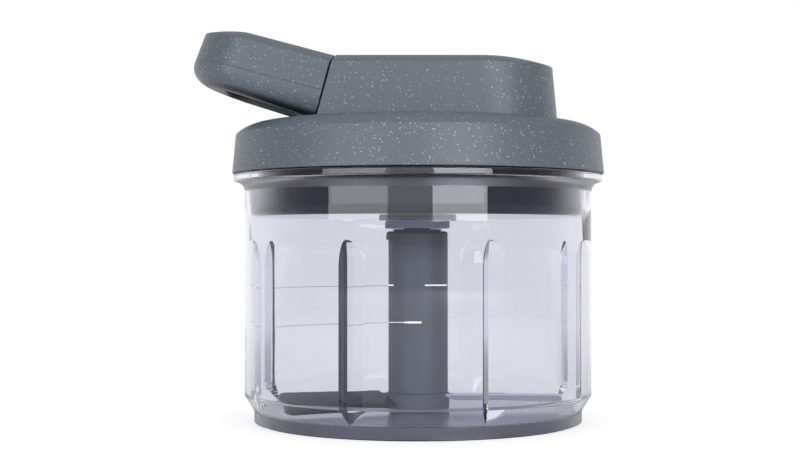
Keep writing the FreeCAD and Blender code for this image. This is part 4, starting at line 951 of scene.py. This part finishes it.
def plans(flat, end, half, corner, bend, height, edge=0.5):
    """Closed plans, one a row, each from the middle of its flat end round and back to it.

    A plan goes along the flat end, over an edge of a small radius, along a side half a width
    away from the middle line, round a corner whose centre is that radius inside the side, and
    over the end on an arc of radius bend. The arc's centre lies bend inside the end, and the
    corner's lies bend - corner from it, so that the two arcs touch.
    """
    values = np.broadcast_arrays(flat, end, half, corner, bend, height)
    flat, end, half, corner, bend, height = (np.reshape(value, (-1, 1)) for value in values)
    edge = np.minimum(edge, half / 2)
    beside, centre = half - corner, end - bend
    across = np.sqrt(np.maximum((bend - corner) ** 2 - beside ** 2, 0))
    meet = np.arctan2(beside, across)
    share, turn = np.linspace(0, 1, 7)[:-1], np.linspace(0, math.pi / 2, 5)
    side, swept = np.linspace(0, 1, 13)[1:], np.linspace(0, 1, 17)[1:]
    round_corner, round_end = (1 - swept) * math.pi / 2 + swept * meet, (1 - swept) * meet
    x = np.concatenate([
        flat + 0 * share, flat + edge * (1 - np.cos(turn)),
        (flat + edge) * (1 - side) + (centre + across) * side,
        centre + across + corner * np.cos(round_corner), centre + bend * np.cos(round_end),
    ], axis=1)
    y = np.concatenate([
        share * (half - edge), half - edge + edge * np.sin(turn), half + 0 * side,
        beside + corner * np.sin(round_corner), bend * np.sin(round_end),
    ], axis=1)
    near = np.stack([x, -y, height + 0 * x], axis=-1)
    far = (near * (1, -1, 1))[:, ::-1]
    return np.concatenate([near, far[:, 1:]], axis=1)


def seam_x(height):
    """How far left the housing's flat end stands at a height."""
    return SEAM_TOP - (CORNER_HEIGHT - height) * math.tan(SEAM_LEAN)


def dome_rise(inset):
    """Height of a domed top above its edge: a circle's, less the circle's at the edge."""
    level = np.sqrt(DOME_RADIUS ** 2 - (HALF_WIDTH - inset) ** 2)
    return level - math.sqrt(DOME_RADIUS ** 2 - HALF_WIDTH ** 2)


dome_inset = np.linspace(0.8, DOME_WIDTH, 9)
roof, inner = HOUSING_EDGE - HOUSING_WALL, HALF_WIDTH - HOUSING_WALL
walls = rounded([
    (0, roof, 0), (inner, roof, 0.8), (inner, PLATEAU, 0.3), (HALF_WIDTH, PLATEAU, 0.3),
    (HALF_WIDTH, HOUSING_EDGE, 0.35), (HALF_WIDTH - 0.8, HOUSING_EDGE + dome_rise(0.8), 0),
], closed=False)[:-1]
half = np.concatenate([walls[:, 0], HALF_WIDTH - dome_inset, [0]])
domed = HOUSING_EDGE + dome_rise(dome_inset)
height = np.concatenate([walls[:, 1], domed, [HOUSING_EDGE + DOME_RISE]])
below_edge = height < HOUSING_EDGE - HOUSING_WALL / 2
in_wall = np.where(below_edge, np.minimum(HALF_WIDTH - half, HOUSING_WALL), 0)
middle = HOUSING_END_FOOT - (height - PLATEAU) * (
    (HOUSING_END_FOOT - HOUSING_END_TOP) / (HOUSING_EDGE - PLATEAU)
)
housing = piece_of(
    "housing_shell", plans(seam_x(height) + in_wall, middle + half, half, half, half, height)
)
bored(housing, [tuple(CORD_EXIT)], tuple(-PULL), EYELET_HOLE, -1.0, EYELET_DEPTH)
finished(housing, "lid", "speckled_plastic", speckled, "housing_cover")


# Pull handle: two speckled shells, one on the other, that two screws from below hold together.
# A finger hollow, open below, leaves a ring of grip round it and a solid end at the seam.
HANDLE_CORNER = np.array([-29.5, 0, CORNER_HEIGHT])
HANDLE_LENGTH = 47.6
HANDLE_CORNER_ROUND = 13.5
HANDLE_BEND = 30.583
TIP_DRAFT = 1.1
TIP_BORDER = 0.75
TOP_DEPTH = 10.2
GRIP_DEPTH = 9.3
GRIP_TAPER = math.tan(math.radians(2.7))
GRIP_ROUND = 7.6
HOLLOW_HALF = 15.5
HOLLOW_REACH = 35.0
HOLLOW_CORNER = 8.0
HOLLOW_BEND = 200.0
HOLLOW_ROOF = 2.2
BULKHEAD = 9.0
SEAM_SKEW = math.tan(math.radians(0.6))
CEILING_START = 12.0
CREST_END = 24.0
CORD_HOLE = 3.9
CORD_HOLE_DEPTH = 2.6
SCREW_FROM_SEAM = 5.0
SCREW_ASIDE = 14.0


def on_handle(grid):
    """Places a grid made in the handle's own frame, where X runs from the seam to the tip and
    Z is square to the pull, in the chopper's frame."""
    slope, rise = math.cos(PULL_TILT), math.sin(PULL_TILT)
    x, y, z = -grid[..., 0], grid[..., 1], grid[..., 2]
    placed = np.stack([x * slope + z * rise, y, -x * rise + z * slope], axis=-1) + HANDLE_CORNER
    return placed[:, ::-1]


def outer_plans(inset, height, lean=0.0):
    """The handle's plans at heights below its upper edge, drawn in by inset all but at the seam,
    with the tip drawn in further by lean."""
    return plans(
        -height * SEAM_SKEW, HANDLE_LENGTH - inset - lean, HALF_WIDTH - inset,
        HANDLE_CORNER_ROUND - inset, HANDLE_BEND - inset, height,
    )


def hollow_plans(inset, height):
    """The hollow's plans at heights below the handle's upper edge, drawn in by inset."""
    return plans(
        BULKHEAD + inset, HOLLOW_REACH - inset, HOLLOW_HALF - inset,
        np.maximum(HOLLOW_CORNER - inset, 0), HOLLOW_BEND - inset, height, edge=1.5,
    )


ceiling = rounded([
    (HOLLOW_HALF, -HOLLOW_ROOF, 0), (0, -HOLLOW_ROOF, 1.5), (0, -TOP_DEPTH, 0.15),
    (-2, -TOP_DEPTH, 0),
], closed=False)[1:-1]
flank = rounded([
    (2, -TOP_DEPTH, 0), (0, -TOP_DEPTH, 0.15), (0, 0, 0.35), (0.8, dome_rise(0.8), 0),
], closed=False)[1:-1]
flank_lean = TIP_DRAFT * np.clip(1 + flank[:, 1] / TOP_DEPTH, 0, 1)
handle_top = piece_of("handle_upper_shell", on_handle(np.concatenate([
    plans(CEILING_START, CREST_END, 0.0, 0.0, 0.0, -HOLLOW_ROOF),
    hollow_plans(ceiling[:, 0], ceiling[:, 1]),
    outer_plans(flank[:, 0], flank[:, 1], flank_lean),
    outer_plans(dome_inset, dome_rise(dome_inset), TIP_DRAFT - (1 - TIP_BORDER) * dome_inset),
    plans(-DOME_RISE * SEAM_SKEW, CREST_END, 0.0, 0.0, 0.0, DOME_RISE),
])))

rim_under = -TOP_DEPTH - GRIP_DEPTH
inner_rows = rounded([
    (0, rim_under - 2, 0), (0, -TOP_DEPTH, 0.15), (-2, -TOP_DEPTH, 0),
], closed=False)[1:-1]
outer_rows = rounded([
    (2, -TOP_DEPTH, 0), (0, -TOP_DEPTH, 0.15), (0, rim_under, GRIP_ROUND), (9, rim_under, 0),
], steps=10, closed=False)[1:-1]
rim_rows = rounded([
    (-2, rim_under, 0), (0, rim_under, 1.0), (0, -TOP_DEPTH, 0),
], closed=False)[1:-1]
grip = np.concatenate([
    hollow_plans(inner_rows[:, 0], inner_rows[:, 1]),
    outer_plans(outer_rows[:, 0], outer_rows[:, 1]),
    hollow_plans(rim_rows[:, 0], rim_rows[:, 1]),
    hollow_plans(inner_rows[:1, 0], inner_rows[:1, 1]),
])
thinning = 1 - grip[..., 0] * GRIP_TAPER / GRIP_DEPTH
grip[..., 2] = (grip[..., 2] + TOP_DEPTH) * thinning - TOP_DEPTH
handle_grip = piece_of("handle_lower_shell", on_handle(grip[::-1]))

handle_down = np.array([-math.sin(PULL_TILT), 0, -math.cos(PULL_TILT)])
screw_seat = TOP_DEPTH + GRIP_DEPTH - (SCREW_FROM_SEAM + SCREW_HEAD) * GRIP_TAPER
screw_middle = HANDLE_CORNER + PULL * SCREW_FROM_SEAM + handle_down * screw_seat
handle_places = [screw_middle + (0, aside, 0) for aside in (SCREW_ASIDE, -SCREW_ASIDE)]
bored(handle_grip, handle_places, tuple(-handle_down), SCREW_HOLE, -1.0, SCREW_SINK)
for shell in (handle_top, handle_grip):
    bored(shell, [tuple(CORD_EXIT)], tuple(PULL), CORD_HOLE, -2.0, CORD_HOLE_DEPTH)
finished(handle_top, "handle", "speckled_plastic", speckled, "handle_top")
finished(handle_grip, "handle", "speckled_plastic", speckled, "handle_grip")


# Screws: zinc-plated pan heads with a cross recess, three under the plug and two under the
# handle. Those that hold the housing are inside.
SCREW_RISE = 1.8
SCREW_CROWN = 0.9
RECESS_HALF = 0.42
RECESS_REACH = 1.5
RECESS_DEPTH = 0.9
steel, point = new_finish("zinc_steel")
turning = point.noise(0.8, detail=3)
close_finish(
    point,
    base_color=turning.mix(colour(165, 167, 170), colour(190, 192, 195)),
    metallic=1.0,
    roughness=0.28 + turning * 0.12,
    height=turning * 0.004,
)


def screw_head(seat, axis):
    """A domed head, with a cross cut into it: the surface drops where the nearer of the two
    middle lines is under half a slot's width away, inside the recess's reach. The dome falls
    with the fourth power of the distance from its middle."""
    reach = np.concatenate([
        np.linspace(0, RECESS_REACH + 0.2, 16), [2.1, 2.4, 2.6, 2.74, SCREW_HEAD, SCREW_HEAD],
    ])[:, None]
    turn = np.linspace(0, 2 * math.pi, 97)[None, :]
    x, y = reach * np.cos(turn), reach * np.sin(turn)
    dome_height = SCREW_RISE - SCREW_CROWN * (reach / SCREW_HEAD) ** 4
    dome_height[-1] = 0
    beside = np.minimum(np.abs(x), np.abs(y))
    slot_share = np.clip((RECESS_HALF + 0.08 - beside) / 0.16, 0, 1)
    reach_share = np.clip((RECESS_REACH - reach) / 0.2, 0, 1)
    z = dome_height - RECESS_DEPTH * slot_share * reach_share
    side = np.array([0, 1.0, 0])
    other = np.cross(side, axis)
    grid = seat + x[..., None] * other + y[..., None] * side + z[..., None] * axis
    return np.concatenate([grid, np.broadcast_to(seat, grid[:1].shape)])[::-1]


heads = [
    screw_head(np.array(place) + (0, 0, SCREW_RISE), np.array([0, 0, -1.0]))
    for place in plug_places
]
plug_heads = piece_of("plug_screw_heads", *heads)
finished(plug_heads, "lid", "steel", steel, "plug_screws")
heads = [screw_head(place - handle_down * SCREW_RISE, handle_down) for place in handle_places]
handle_heads = piece_of("handle_screw_heads", *heads)
finished(handle_heads, "handle", "steel", steel, "handle_screws")


# Inner parts: what shows through the bowl or when the chopper comes apart, and what is closed
# in. Each keeps its shape and takes the finish of its kind.
def dress(material, *nodes):
    """Gives nodes that stay as they are a finish."""
    for node in nodes:
        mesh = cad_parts[node].data
        mesh.materials.clear()
        mesh.materials.append(material)
        shaded(mesh)


bearing, point = new_finish("bearing_plastic")
close_finish(
    point,
    base_color=point.noise(2).mix(colour(228, 228, 222), colour(236, 236, 231)),
    roughness=0.35 + point.noise(1) * 0.1,
    height=point.noise(0.6) * 0.004,
)
inner, point = new_finish("inner_plastic")
close_finish(
    point,
    base_color=point.noise(3).mix(colour(208, 208, 203), colour(218, 218, 213)),
    roughness=0.45 + point.noise(1) * 0.1,
    height=point.noise(0.6) * 0.006,
)
seal, point = new_finish("seal_rubber")
close_finish(
    point,
    base_color=point.noise(2).mix(colour(186, 188, 191), colour(196, 198, 201)),
    roughness=0.55 + point.noise(3) * 0.1,
    height=point.noise(0.8) * 0.01,
)
spring_steel, point = new_finish("spring_steel")
rolled = point.vector("MULTIPLY", point, (1.0, 1.0, 9.0)).noise(1.5)
close_finish(
    point,
    base_color=rolled.mix(colour(110, 114, 122), colour(134, 138, 146)),
    metallic=1.0,
    roughness=0.3 + rolled * 0.15,
    height=rolled * 0.003,
)
dress(plain, "drive_dog")
dress(steel, "blade_pin", "drive_shaft", "shaft_clip", "housing_screws")
dress(bearing, "spindle_bush", "shaft_bush", "spool_bearing", "cord_guide")
dress(inner, "spring_cup", "spring_cover", "cord_spool", "ratchet_pawls", "ratchet_wheel")
dress(seal, "sealing_ring")
dress(spring_steel, "recoil_spring")
dress(cord_finish, "cord_run", "cord_winding", "cord_ferrule")
